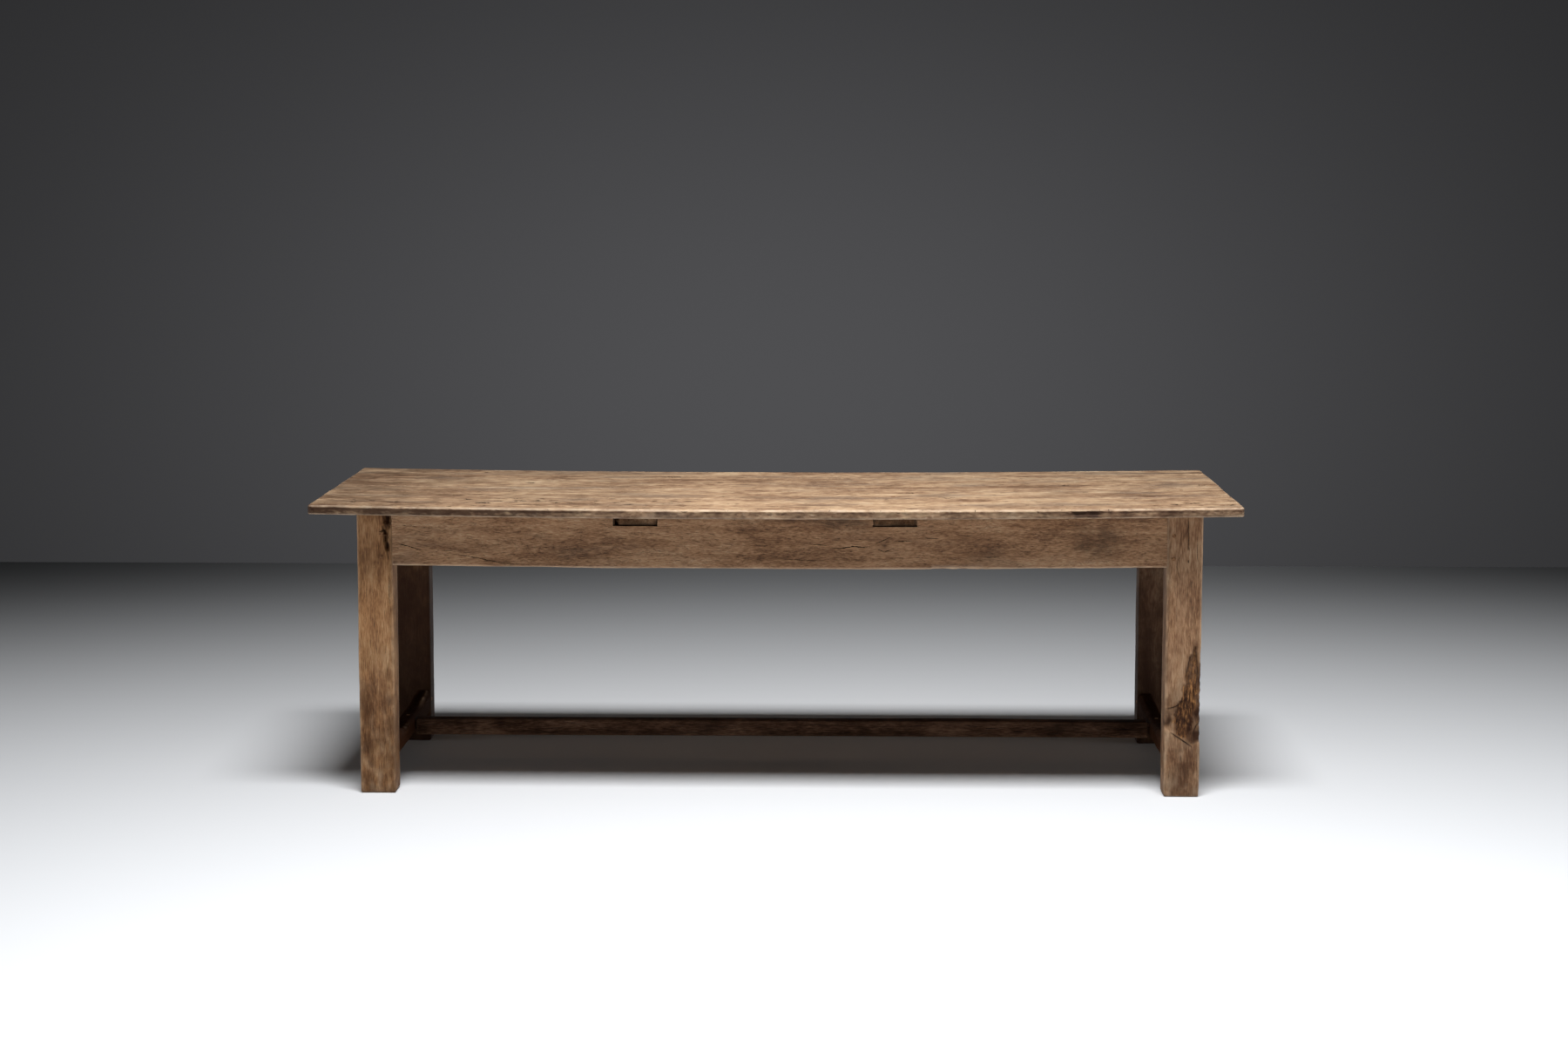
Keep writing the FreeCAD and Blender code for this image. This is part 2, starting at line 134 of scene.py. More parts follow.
# %% Backdrop
WALL_DARK = colour(36, 36, 37)
WALL_BRIGHT = colour(79, 79, 81)
GLOW_FALL_ACROSS = -12.0
GLOW_FALL_UP = -28.0
ROOM_LIGHT = 0.012
world = bpy.data.worlds.new("studio")
bpy.context.scene.world = world
world.use_nodes = True
tree = world.node_tree
tree.nodes.clear()
seen = node(tree, "LightPath", {}).outputs
ahead = node(tree, "TexCoord", {}).outputs["Generated"]
ACROSS_VIEW = (1.0, CAMERA_TURN, 0.0)
UP_VIEW = (0.0, 0.0983, 0.995)
across = node(tree, "VectorMath", {0: ahead, 1: ACROSS_VIEW}, operation="DOT_PRODUCT").outputs["Value"]
upward = node(tree, "VectorMath", {0: ahead, 1: UP_VIEW}, operation="DOT_PRODUCT").outputs["Value"]
fall = sums(tree, "MULTIPLY_ADD", sums(tree, "MULTIPLY", across, across), GLOW_FALL_ACROSS,
            sums(tree, "MULTIPLY", sums(tree, "MULTIPLY", upward, upward), GLOW_FALL_UP))
glow = sums(tree, "EXPONENT", fall)
wall = node(tree, "Mix", {0: glow, 6: WALL_DARK, 7: WALL_BRIGHT}, data_type="RGBA").outputs[2]
backdrop = node(tree, "Background", {"Color": wall, "Strength": 1.0}).outputs[0]
room = node(tree, "Background", {"Color": colour(255, 255, 255), "Strength": ROOM_LIGHT}).outputs[0]
mirrored = sums(tree, "MAXIMUM", seen["Is Glossy Ray"], seen["Is Transmission Ray"])
shown = sums(tree, "MAXIMUM", seen["Is Camera Ray"], mirrored)
mixed = node(tree, "MixShader", {0: shown, 1: room, 2: backdrop}).outputs[0]
node(tree, "OutputWorld", {"Surface": mixed})
print("backdrop nodes:", len(tree.nodes))

# %% [markdown]
# One wide soft lamp hangs high in front of the table. The pale floor throws its light back up, and that
# bounce is what lights the faces that look at the camera. Three weak lamps near the floor lighten the ends
# and the back.

# %% Lamps
def soft_lamp(name, place, target, width, depth, power, spread):
    """A flat soft lamp that faces a target; its light goes out to half the spread on each side."""
    lamp = bpy.data.lights.new(name, "AREA")
    lamp.shape = "RECTANGLE"
    lamp.size = width
    lamp.size_y = depth
    lamp.energy = power
    lamp.spread = math.radians(spread)
    stand = bpy.data.objects.new(name, lamp)
    stand.location = place
    stand.rotation_euler = (Vector(target) - Vector(place)).to_track_quat("-Z", "Y").to_euler()
    stand.visible_camera = False
    bpy.context.scene.collection.objects.link(stand)


soft_lamp("overhead", (0.4, -2.4, 7.7), (0.4, -2.4, 0.0), 3.6, 1.6, 239, 74)
soft_lamp("left_fill", (-5.2, -0.6, 0.28), (-1.1, 0.0, 0.45), 1.8, 0.5, 18, 100)
soft_lamp("right_fill", (5.2, -0.6, 0.28), (1.1, 0.0, 0.45), 1.8, 0.5, 18, 100)
soft_lamp("back_fill", (0.3, 5.2, 0.3), (0.0, 0.3, 0.45), 3.6, 0.5, 10, 100)
print("lamps:", [thing.name for thing in bpy.data.lights])

# %% [markdown]
# ## Oak
# Oak shows its growth rings as long lines. On a real board they come from the place of the tree's heart, so
# each timber stores its own distance from the heart as an attribute, and the finish turns that into lines.
# Stretched noise adds streaks, pores and the short dark checks of dry wood. More attributes say where hands
# and feet have rubbed the wood pale, where dirt has stayed and where it has rotted; the pale also holds
# painted highlights and the dirt painted shade.

# %% Oak helpers
GRAIN_ORDER = {"X": (0, 1, 2), "Y": (1, 0, 2), "Z": (2, 0, 1)}


def attribute(tree, name):
    """A value that a timber stores at each of its points."""
    return node(tree, "Attribute", {}, attribute_name=name).outputs["Fac"]


def cloudy(tree, where, stretch, detail, rough):
    """Noise that is pulled out by different amounts along and across the grain."""
    pulled = node(tree, "VectorMath", {0: where, 1: stretch}, operation="MULTIPLY").outputs[0]
    sockets = {"Vector": pulled, "Scale": 1.0, "Detail": detail, "Roughness": rough}
    return node(tree, "TexNoise", sockets).outputs[0]


def between(tree, value, low, high):
    """0 below low, 1 above high and a soft step between them."""
    sockets = {"Value": value, "From Min": low, "From Max": high}
    return node(tree, "MapRange", sockets, interpolation_type="SMOOTHSTEP").outputs[0]


def blend(tree, amount, first, second):
    """Mixes two colours."""
    return node(tree, "Mix", {0: amount, 6: first, 7: second}, data_type="RGBA").outputs[2]


def ramp(tree, value, stops):
    """Turns a value into a colour by a few stops."""
    made = node(tree, "ValToRGB", {0: value})
    bar = made.color_ramp
    while len(bar.elements) < len(stops):
        bar.elements.new(0.5)
    for element, (place, tone) in zip(bar.elements, stops):
        element.position = place
        element.color = tone
    return made.outputs[0]


# %% [markdown]
# Grain runs along the length of each timber: X for the top, Y for the ends of the frame and Z for the legs.
# The finish turns a place so that the grain comes first, and one recipe then fits every timber.

# %% Where the grain runs
def grain_place(tree, grain, sideways):
    """The place on a piece with the grain first, let to drift a little from side to side."""
    spot = node(tree, "TexCoord", {}).outputs["Object"]
    parts = node(tree, "SeparateXYZ", {0: spot}).outputs
    where = node(tree, "CombineXYZ", {i: parts[axis] for i, axis in enumerate(GRAIN_ORDER[grain])}).outputs[0]
    wind = node(tree, "TexNoise", {"Vector": where, "Scale": 4.0, "Detail": 3.0}).outputs["Color"]
    drift = node(tree, "VectorMath", {0: wind, 1: (0.0, sideways, sideways)}, operation="MULTIPLY").outputs[0]
    return node(tree, "VectorMath", {0: where, 1: drift}, operation="ADD").outputs[0]


def marks(tree, where, look, key, detail):
    """One kind of mark: noise in the size that the look gives along and across the grain."""
    along, across = look[key]
    return cloudy(tree, where, (along, across, across), detail, 0.62)


# %% [markdown]
# Freshly planed, the wood has only rings, streaks and fibres. With age grey patches and dark smears lie
# over them. Four layers of noise are added up, and a ramp of five tones turns the sum into a colour.

# %% The plain wood
def plain_oak(tree, where, tones, silver, look):
    """The colour of the plain wood, with the streaks and fibres that the finish uses again."""
    sway = cloudy(tree, where, (5.0, 50.0, 50.0), 3.0, 0.5)
    ring = sums(tree, "MULTIPLY_ADD", sway, 0.008, attribute(tree, "rings"))
    growth = node(tree, "TexNoise", {"W": ring, "Scale": 150.0, "Detail": 4.0, "Roughness": 0.65},
                  noise_dimensions="1D").outputs[0]
    streaks = marks(tree, where, look, "streaks", 4.0)
    fibres = marks(tree, where, look, "fibres", 3.0)
    clouds = marks(tree, where, look, "clouds", 5.0)
    tone = attribute(tree, "lift")
    for layer, share in zip((growth, streaks, fibres, clouds), look["mix"]):
        tone = sums(tree, "MULTIPLY_ADD", layer, share, tone)
    middle = sum(look["mix"]) / 2
    places = [middle + step for step in (-0.20, -0.08, 0.0, 0.08, 0.20)]
    wood = ramp(tree, tone, list(zip(places, tones)))
    grey_patch = between(tree, marks(tree, where, look, "greys", 5.0), 0.50, 0.66)
    wood = blend(tree, sums(tree, "MULTIPLY", grey_patch, look["silver"]), wood, silver)
    smear = between(tree, marks(tree, where, look, "smears", 5.0), 0.53, 0.68)
    wood = blend(tree, sums(tree, "MULTIPLY", smear, look["smear"]), wood, tones[0])
    return wood, streaks, fibres


# %% [markdown]
# Dry oak opens in short dark checks and pits. A line of noise at one level, broken by a second noise, gives
# thin checks without any drawing, and the same marks later dent the surface a little.

# %% Checks and pits
def dry_marks(tree, where, look):
    """Short dark checks and open pits, 0 to 1."""
    field = marks(tree, where, look, "checks", 3.0)
    apart = sums(tree, "ABSOLUTE", sums(tree, "SUBTRACT", field, 0.5))
    line = sums(tree, "SUBTRACT", 1.0, between(tree, apart, 0.003, 0.018))
    gate = 0.62 - look["check"]
    broken = between(tree, cloudy(tree, where, (22.0, 60.0, 60.0), 2.0, 0.5), gate, gate + 0.08)
    checks = sums(tree, "MULTIPLY", line, broken)
    pits = between(tree, marks(tree, where, look, "pits", 2.0), 0.70 - look["pit"], 0.76 - look["pit"])
    return sums(tree, "MAXIMUM", sums(tree, "MULTIPLY", checks, 0.6), sums(tree, "MULTIPLY", pits, 0.7))


# %% [markdown]
# Wear, rot and dirt each have an attribute that says where they are; the wear also holds painted highlights
# and the dirt painted shade. Noise breaks up their borders, so that they look grown rather than painted.

# %% Wear, rot, dirt and painted light
ROT_TONES = [colour(38, 24, 16), colour(82, 54, 34), colour(122, 83, 50), colour(188, 136, 84)]


def pale_wear_and_highlight(tree, where, wood, streaks, pale, look):
    """Pale rubbed wood and scuffs, with the painted highlights that the wear attribute also holds."""
    flecks = between(tree, marks(tree, where, look, "flecks", 3.0), 0.60, 0.70)
    worn = attribute(tree, "worn")
    rubbed = sums(tree, "MULTIPLY", worn, between(tree, streaks, 0.20, 0.50))
    scuffs = sums(tree, "MULTIPLY", flecks, sums(tree, "MULTIPLY_ADD", worn, 0.6, look["fleck"]))
    return blend(tree, sums(tree, "MAXIMUM", rubbed, scuffs), wood, pale)


def rot_away(tree, where, wood, dirt_and_shade_colour):
    """Torn brown fibres with dark crevices where the wood has rotted."""
    torn = cloudy(tree, where, (42.0, 190.0, 190.0), 5.0, 0.7)
    rotten = ramp(tree, torn, list(zip((0.38, 0.47, 0.54, 0.66), ROT_TONES)))
    ragged = sums(tree, "ADD", attribute(tree, "rot"), sums(tree, "SUBTRACT", torn, 0.5))
    rot = between(tree, ragged, 0.08, 0.80)
    wood = blend(tree, rot, wood, rotten)
    crevices = between(tree, cloudy(tree, where, (34.0, 120.0, 120.0), 5.0, 0.7), 0.52, 0.64)
    return blend(tree, sums(tree, "MULTIPLY", sums(tree, "MULTIPLY", crevices, rot), 0.85), wood, dirt_and_shade_colour)


def soil_over(tree, where, wood, dirt_and_shade_colour, look):
    """Dirt and painted shade, patchy where there is little of it and even where there is much."""
    patchy = between(tree, marks(tree, where, look, "mottle", 6.0), 0.36, 0.60)
    patchy = sums(tree, "MULTIPLY_ADD", patchy, 0.75, 0.25)
    soil = attribute(tree, "soil")
    steady = sums(tree, "MULTIPLY", soil, soil)
    patchy = sums(tree, "MULTIPLY_ADD", patchy, sums(tree, "SUBTRACT", 1.0, steady), steady)
    return blend(tree, sums(tree, "MULTIPLY", soil, patchy), wood, dirt_and_shade_colour)


# %% [markdown]
# The finish lays these over each other in the order in which age did, and the painted shade comes last with
# the dirt. Streaks, fibres and checks also make the surface uneven through a Bump node, and the fibres change
# how dull it is.

# %% The oak finish
def oak(name, grain, tones, pale, dirt_and_shade_colour, silver, look):
    """Weathered oak. tones run from dark to pale; look gives the sizes and shares of its marks."""
    material = bpy.data.materials.new(name)
    material.use_nodes = True
    tree = material.node_tree
    shader = tree.nodes["Principled BSDF"]
    where = grain_place(tree, grain, look["drift"])
    wood, streaks, fibres = plain_oak(tree, where, tones, silver, look)
    dark = dry_marks(tree, where, look)
    wood = blend(tree, dark, wood, dirt_and_shade_colour)
    wood = pale_wear_and_highlight(tree, where, wood, streaks, pale, look)
    wood = rot_away(tree, where, wood, dirt_and_shade_colour)
    wood = soil_over(tree, where, wood, dirt_and_shade_colour, look)
    tree.links.new(wood, shader.inputs["Base Color"])
    roughness = sums(tree, "MULTIPLY_ADD", fibres, 0.3, look["rough"])
    tree.links.new(roughness, shader.inputs["Roughness"])
    shader.inputs["Specular IOR Level"].default_value = look["shine"]
    height = sums(tree, "MULTIPLY_ADD", streaks, 0.7, sums(tree, "MULTIPLY", fibres, 0.7))
    height = sums(tree, "SUBTRACT", height, dark)
    bump = node(tree, "Bump", {"Height": height, "Strength": 0.6, "Distance": 0.002}).outputs[0]
    tree.links.new(bump, shader.inputs["Normal"])
    return material


# %% [markdown]
# The top has bleached and the aprons and legs are browner. The stretchers are nearly black: their dark tones
# are painted shade. Each kind of timber gets five tones, and a look: the size of each mark per metre along
# and across the grain, and how much of it shows. The two right legs are a little greyer than the left ones.

# %% Tones of each kind of timber
TOP_TONES = [colour(104, 77, 58), colour(142, 111, 86), colour(174, 142, 112), colour(194, 163, 130),
             colour(214, 188, 157)]
APRON_TONES = [colour(90, 61, 42), colour(128, 94, 67), colour(155, 117, 86), colour(172, 136, 103),
               colour(194, 162, 130)]
LEG_TONES = [colour(88, 56, 35), colour(124, 87, 56), colour(151, 109, 73), colour(168, 128, 89),
             colour(187, 152, 115)]
GREY_LEG_TONES = [colour(86, 58, 40), colour(121, 88, 63), colour(147, 111, 82), colour(164, 130, 99),
                  colour(184, 154, 124)]
# Dark tones of the stretchers: painted shade.
BAR_SHADE_TONES = [colour(30, 19, 13), colour(52, 35, 25), colour(74, 52, 39), colour(94, 69, 53),
              colour(122, 94, 75)]
# The colours that dirt and painted shade darken the wood to.
DIRT_AND_SHADE = colour(36, 23, 15)
WARM_DIRT_AND_SHADE = colour(46, 24, 11)
print("tones of the top:", len(TOP_TONES))

# %% Looks and finishes
TOP_LOOK = {"streaks": (8.0, 27.0), "fibres": (36.0, 105.0), "clouds": (2.6, 8.0), "greys": (3.6, 13.0),
            "smears": (6.0, 20.0), "checks": (20.0, 70.0), "pits": (34.0, 80.0), "flecks": (60.0, 110.0),
            "mottle": (14.0, 30.0), "mix": (0.20, 0.38, 0.54, 0.48), "drift": 0.030, "silver": 0.55,
            "smear": 0.50, "check": 0.03, "pit": 0.04, "fleck": 0.30, "shine": 0.15, "rough": 0.52}
APRON_LOOK = {"streaks": (8.0, 75.0), "fibres": (70.0, 520.0), "clouds": (3.0, 11.0), "greys": (3.0, 15.0),
              "smears": (5.0, 24.0), "checks": (24.0, 210.0), "pits": (60.0, 240.0), "flecks": (70.0, 230.0),
              "mottle": (30.0, 60.0), "mix": (0.14, 0.22, 0.60, 0.66), "drift": 0.030, "silver": 0.30,
              "smear": 0.30, "check": 0.16, "pit": 0.0, "fleck": 0.08, "shine": 0.15, "rough": 0.52}
LEG_LOOK = {"streaks": (5.0, 110.0), "fibres": (45.0, 400.0), "clouds": (7.0, 16.0), "greys": (4.0, 15.0),
            "smears": (10.0, 26.0), "checks": (14.0, 160.0), "pits": (60.0, 200.0), "flecks": (60.0, 220.0),
            "mottle": (26.0, 38.0), "mix": (0.10, 0.15, 0.60, 0.68), "drift": 0.010, "silver": 0.12,
            "smear": 0.22, "check": -0.02, "pit": -0.02, "fleck": 0.06, "shine": 0.12, "rough": 0.56}
BAR_LOOK = dict(LEG_LOOK, streaks=(6.0, 70.0), drift=0.02, silver=0.20, shine=0.02, rough=0.82)
top_oak = oak("top_oak", "X", TOP_TONES, colour(226, 202, 176), WARM_DIRT_AND_SHADE, colour(140, 122, 105), TOP_LOOK)
apron_oak = oak("apron_oak", "X", APRON_TONES, colour(206, 178, 150), DIRT_AND_SHADE, colour(126, 106, 87), APRON_LOOK)
end_apron_oak = oak("end_apron_oak", "Y", APRON_TONES, colour(206, 178, 150), DIRT_AND_SHADE, colour(126, 106, 87),
                    APRON_LOOK)
leg_oak = oak("leg_oak", "Z", LEG_TONES, colour(218, 184, 148), WARM_DIRT_AND_SHADE, colour(140, 112, 88), LEG_LOOK)
grey_leg_oak = oak("grey_leg_oak", "Z", GREY_LEG_TONES, colour(220, 190, 158), WARM_DIRT_AND_SHADE,
                   colour(146, 122, 102), LEG_LOOK)
bearer_oak = oak("bearer_oak", "Y", APRON_TONES, colour(206, 178, 150), DIRT_AND_SHADE, colour(126, 106, 87), BAR_LOOK)
end_bar_oak = oak("end_bar_oak", "Y", BAR_SHADE_TONES, colour(172, 146, 120), WARM_DIRT_AND_SHADE, colour(72, 54, 42),
                  BAR_LOOK)
centre_bar_oak = oak("centre_bar_oak", "X", BAR_SHADE_TONES, colour(124, 96, 76), DIRT_AND_SHADE, colour(80, 64, 54),
                     BAR_LOOK)
print("oak finishes:", len(bpy.data.materials))

# %% [markdown]
# The walls of splits and notches are painted dark, as old dirt and as painted shade in the hollow, and a peg
# is a rod of riven oak. Both take a plainer finish of the same idea: stretched noise between a few tones,
# with no attributes.

# %% Split walls and pegs
def rough_wood(name, grain, stretch, tones, strength):
    """Split or riven wood with coarse fibres."""
    material = bpy.data.materials.new(name)
    material.use_nodes = True
    tree = material.node_tree
    shader = tree.nodes["Principled BSDF"]
    coarse = cloudy(tree, grain_place(tree, grain, 0.02), stretch, 5.0, 0.65)
    wood = ramp(tree, coarse, list(zip((0.36, 0.48, 0.58, 0.70), tones)))
    tree.links.new(wood, shader.inputs["Base Color"])
    shader.inputs["Roughness"].default_value = 0.85
    shader.inputs["Specular IOR Level"].default_value = 0.2
    bump = node(tree, "Bump", {"Height": coarse, "Strength": strength, "Distance": 0.003}).outputs[0]
    tree.links.new(bump, shader.inputs["Normal"])
    return material


# Split and notch walls: old dirt and painted shade.
SPLIT_DIRT_AND_SHADE_TONES = [colour(22, 14, 9), colour(36, 23, 15), colour(54, 36, 24), colour(78, 54, 37)]
PEG_TONES = [colour(88, 59, 39), colour(128, 91, 62), colour(152, 112, 78), colour(174, 135, 100)]
split_dirt_and_shade_oak = rough_wood("split_dirt_and_shade_oak", "X", (30.0, 300.0, 300.0), SPLIT_DIRT_AND_SHADE_TONES, 0.5)
peg_oak = rough_wood("peg_oak", "X", (260.0, 260.0, 260.0), PEG_TONES, 0.4)
print("all finishes:", len(bpy.data.materials))

# %% [markdown]
# ## Making a timber
# A timber starts as a cube that is scaled to its solid's box, with every arris rounded and every face cut
# into an even grid. A copy of the solid would have long thin triangles, and an even grid can be pushed
# about like clay.

# %% Blank
def lies_along(edge, axis):
    """True for an edge that runs along one axis."""
    run = edge.verts[1].co - edge.verts[0].co
    return abs(run[axis]) > 0.999 * run.length


def blank(low, high, arris, steps):
    """A box of oak with rounded arrises and a grid of about the given steps on its faces."""
    bm = bmesh.new()
    bmesh.ops.create_cube(bm, size=1.0)
    bmesh.ops.scale(bm, vec=high - low, verts=bm.verts)
    bmesh.ops.translate(bm, vec=(low + high) / 2, verts=bm.verts)
    bmesh.ops.bevel(bm, geom=bm.edges[:], offset=arris, offset_type="OFFSET", segments=2, profile=0.5,
                    affect="EDGES", clamp_overlap=True, material=-1)
    for axis, step in enumerate(steps):
        run = [edge for edge in bm.edges if lies_along(edge, axis) and edge.calc_length() > 1.5 * step]
        if run:
            cuts = max(1, round(run[0].calc_length() / step) - 1)
            bmesh.ops.subdivide_edges(bm, edges=run, cuts=cuts, use_grid_fill=True)
    return bm


# %% [markdown]
# Old arrises are not evenly round: they wander between keen and rubbed. Each point near an arris is pulled
# in to a radius that changes along the way, and smooth noise gives the change.

# %% Wear
def ripple(x, y, z, seed):
    """Smooth noise from about -1 to 1."""
    return noise.noise(Vector((x + seed, y - 2.7 * seed, z + 5.1 * seed)))


def waves(co, along_x, along_y, along_z, seed):
    """Smooth noise at a point, with about so many waves per metre along X, Y and Z."""
    return ripple(co.x * along_x, co.y * along_y, co.z * along_z, seed)


def clamp(value):
    """Keeps a value from 0 to 1."""
    return min(max(value, 0.0), 1.0)


def ease(value):
    """Goes softly from 0 to 1."""
    held = clamp(value)
    return held * held * (3 - 2 * held)


def hump(value, middle, width):
    """1 in the middle, and softly down to 0 on both sides."""
    return math.exp(-((value - middle) / width) ** 2)


def rub_arrises(co, low, high, radius_at):
    """Pulls a point near an arris in to a round of the radius that radius_at gives there."""
    middle = (low + high) / 2
    for a, b in ((1, 2), (0, 2), (0, 1)):
        side_a = 1 if co[a] > middle[a] else -1
        side_b = 1 if co[b] > middle[b] else -1
        near_a = high[a] - co[a] if side_a > 0 else co[a] - low[a]
        near_b = high[b] - co[b] if side_b > 0 else co[b] - low[b]
        radius = radius_at(a, side_a, b, side_b, co)
        if near_a < radius and near_b < radius:
            reach = math.hypot(radius - near_a, radius - near_b)
            if reach > radius:
                back = 1 - radius / reach
                co[a] -= side_a * (radius - near_a) * back
                co[b] -= side_b * (radius - near_b) * back


def edge_gap(co, low, high):
    """How far a point is from the nearest arris: the second smallest distance to the faces."""
    gaps = sorted(min(co[axis] - low[axis], high[axis] - co[axis]) for axis in range(3))
    return gaps[1]


# %% [markdown]
# A shaped bmesh becomes an object, gets its splits cut out by a Boolean, and stores what its finish asks at
# each point. In the end it rides on the table's one body and takes the place of its solid.

# %% From mesh to piece
def add_piece(name, bm, *finishes):
    """Makes an object of a bmesh, with its finishes."""
    mesh = bpy.data.meshes.new(name)
    bm.to_mesh(mesh)
    bm.free()
    for finish in finishes:
        mesh.materials.append(finish)
    piece = bpy.data.objects.new(name, mesh)
    bpy.context.scene.collection.objects.link(piece)
    return piece


def carve(piece, cutters, slot):
    """Cuts a mesh of closed shapes out of a piece; the new walls take the piece's finish of that slot."""
    bmesh.ops.recalc_face_normals(cutters, faces=cutters.faces)
    for face in cutters.faces:
        face.material_index = slot
    tool = add_piece("cutter", cutters, *piece.data.materials)
    step = piece.modifiers.new("carve", "BOOLEAN")
    step.operation = "DIFFERENCE"
    step.solver = "MANIFOLD"
    step.object = tool
    shaped = bpy.data.meshes.new_from_object(piece.evaluated_get(bpy.context.evaluated_depsgraph_get()))
    piece.modifiers.remove(step)
    worn_out = piece.data
    piece.data = shaped
    shaped.name = piece.name
    bpy.data.meshes.remove(worn_out)
    bpy.data.meshes.remove(tool.data)


def store(piece, **values):
    """Stores values at each point of a piece; each is a function of the point's place."""
    for name, value_at in values.items():
        layer = piece.data.attributes.new(name, "FLOAT", "POINT")
        layer.data.foreach_set("value", [value_at(point.co) for point in piece.data.vertices])


SHARP_ANGLE = 38


def finish_piece(piece, slot_name, *nodes):
    """Smooths the shading, keeps sharp edges sharp and puts the piece in the place of its solids."""
    piece.data.shade_smooth()
    piece.data.set_sharp_from_angle(angle=math.radians(SHARP_ANGLE))
    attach(piece, "root")
    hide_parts(*nodes)
    triangles = sum(len(face.vertices) - 2 for face in piece.data.polygons)
    print(piece.name, "triangles:", triangles)


# %% [markdown]
# A split follows the grain, wanders a little, is widest in the middle and closes towards its floor. Bump
# alone would vanish at the edge of a timber, so here a split is real: a cube that is cut lengthwise and
# bent along a line on the timber's face. Many of them make one cutter, which a Boolean takes out of the
# timber at once.

# %% Splits
SPLIT_LIFT = 0.003
SPLIT_STEP = 0.003


def along_path(path, share):
    """The point at a share of a path's length, and the path's direction there."""
    runs = [(Vector(b) - Vector(a)).length for a, b in zip(path, path[1:])]
    left = share * sum(runs)
    for a, b, run in zip(path, path[1:], runs):
        if left <= run or b is path[-1]:
            ahead = (Vector(b) - Vector(a)).normalized()
            return Vector(a) + ahead * left, ahead
        left -= run


def join(whole, part):
    """Adds one bmesh to another."""
    carrier = bpy.data.meshes.new("carrier")
    part.to_mesh(carrier)
    part.free()
    whole.from_mesh(carrier)
    bpy.data.meshes.remove(carrier)


def add_split(cutters, place, path, width, depth, seed):
    """Adds a wedge along a path on a face. place turns face numbers and a depth into a point."""
    length = sum((Vector(b) - Vector(a)).length for a, b in zip(path, path[1:]))
    blade = bmesh.new()
    bmesh.ops.create_cube(blade, size=1.0)
    run = [edge for edge in blade.edges if lies_along(edge, 0)]
    bmesh.ops.subdivide_edges(blade, edges=run, cuts=max(3, round(length / SPLIT_STEP)), use_grid_fill=True)
    for point in blade.verts:
        share = clamp(point.co.x + 0.5)
        side = 1 if point.co.y > 0 else -1
        taper = min(1.0, 3.5 * min(share, 1 - share)) ** 0.8
        middle, ahead = along_path(path, share)
        ragged = ripple(share * length * 210, 3 * side, 0.0, seed)
        half = width / 2 * (0.08 + taper * max(0.15, 0.75 + 0.95 * ragged))
        wander = width * (0.35 * ripple(share * length * 55, 9.0, 0.0, seed)
                          + 0.25 * ripple(share * length * 170, 5.0, 0.0, seed))
        if point.co.z < 0:
            out = side * half * 0.2 + wander
            deep = depth * (0.35 + 0.65 * taper)
        else:
            out = side * half * 1.2 + wander
            deep = -SPLIT_LIFT
        point.co = place(middle.x - ahead.y * out, middle.y + ahead.x * out, deep)
    join(cutters, blade)


# %% [markdown]
# Dry wood is also full of short checks that follow no plan. A random draw with a fixed seed scatters them,
# so that every run gives the same ones, and a list of taken places keeps them clear of each other.

# %% Many short checks
CLEAR_GAP = 0.007
SPOT_STEP = 0.006


def far_from(taken, u, v, gap):
    """True if a place on a face keeps clear of all the taken ones."""
    return all(math.hypot(u - a, v - b) > gap for a, b in taken)


def sprinkle(cutters, place, low, high, count, length, width, depth, taken, seed):
    """Scatters short splits along u over a face, clear of the taken places and of each other."""
    draw = random.Random(seed)
    done = 0
    for attempt in range(count * 6):
        if done == count:
            break
        u = draw.uniform(low[0], high[0])
        v = draw.uniform(low[1], high[1])
        run = length * draw.uniform(0.35, 1.3)
        ends = [(u + run * k / 6, v) for k in range(-3, 4)]
        tilt = draw.uniform(-0.06, 0.06)
        thick = width * draw.uniform(0.5, 1.2)
        if all(far_from(taken, a, b, CLEAR_GAP) for a, b in ends):
            add_split(cutters, place, [(u - run / 2, v - tilt * run), (u, v), (u + run / 2, v + tilt * run)],
                      thick, depth * draw.uniform(0.6, 1.2), seed + attempt)
            taken += ends
            done += 1


def path_spots(path):
    """Places at even steps along a path, to keep other cuts clear of it."""
    length = sum((Vector(b) - Vector(a)).length for a, b in zip(path, path[1:]))
    count = max(2, round(length / SPOT_STEP))
    return [tuple(along_path(path, k / count)[0]) for k in range(count + 1)]


# %% [markdown]
# ## Where the pegs are
# The joints are pinned with riven oak pegs. A solid of pegs holds several rods, so its mesh is walked from
# point to point to find each rod. The splits of the top keep clear of these places.

# %% Peg helpers
def shells(node_name):
    """The separate rods of a peg solid, each as its lowest and highest corner."""
    bm = bmesh.new()
    bm.from_mesh(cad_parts[node_name].data)
    bmesh.ops.remove_doubles(bm, verts=bm.verts, dist=1e-5)
    left = set(bm.verts)
    boxes = []
    while left:
        group = {left.pop()}
        waiting = list(group)
        while waiting:
            point = waiting.pop()
            for edge in point.link_edges:
                other = edge.other_vert(point)
                if other in left:
                    left.discard(other)
                    group.add(other)
                    waiting.append(other)
        low = Vector([min(point.co[axis] for point in group) for axis in range(3)])
        high = Vector([max(point.co[axis] for point in group) for axis in range(3)])
        boxes.append((low, high))
    bm.free()
    return sorted(boxes, key=lambda pair: tuple(round(v, 4) for v in pair[0]))


PEG_NODES = [name for name in sorted(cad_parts) if "pegs" in name or "dowels" in name]
PEG_BOXES = {name: shells(name) for name in PEG_NODES}
print("pegs:", sum(len(boxes) for boxes in PEG_BOXES.values()))

# %% [markdown]
# ## The top
# Four boards of unequal width lie side by side. The top sags by a finger's breadth between its ends, and
# all that touches it follows the same curve, so the curve is one function.

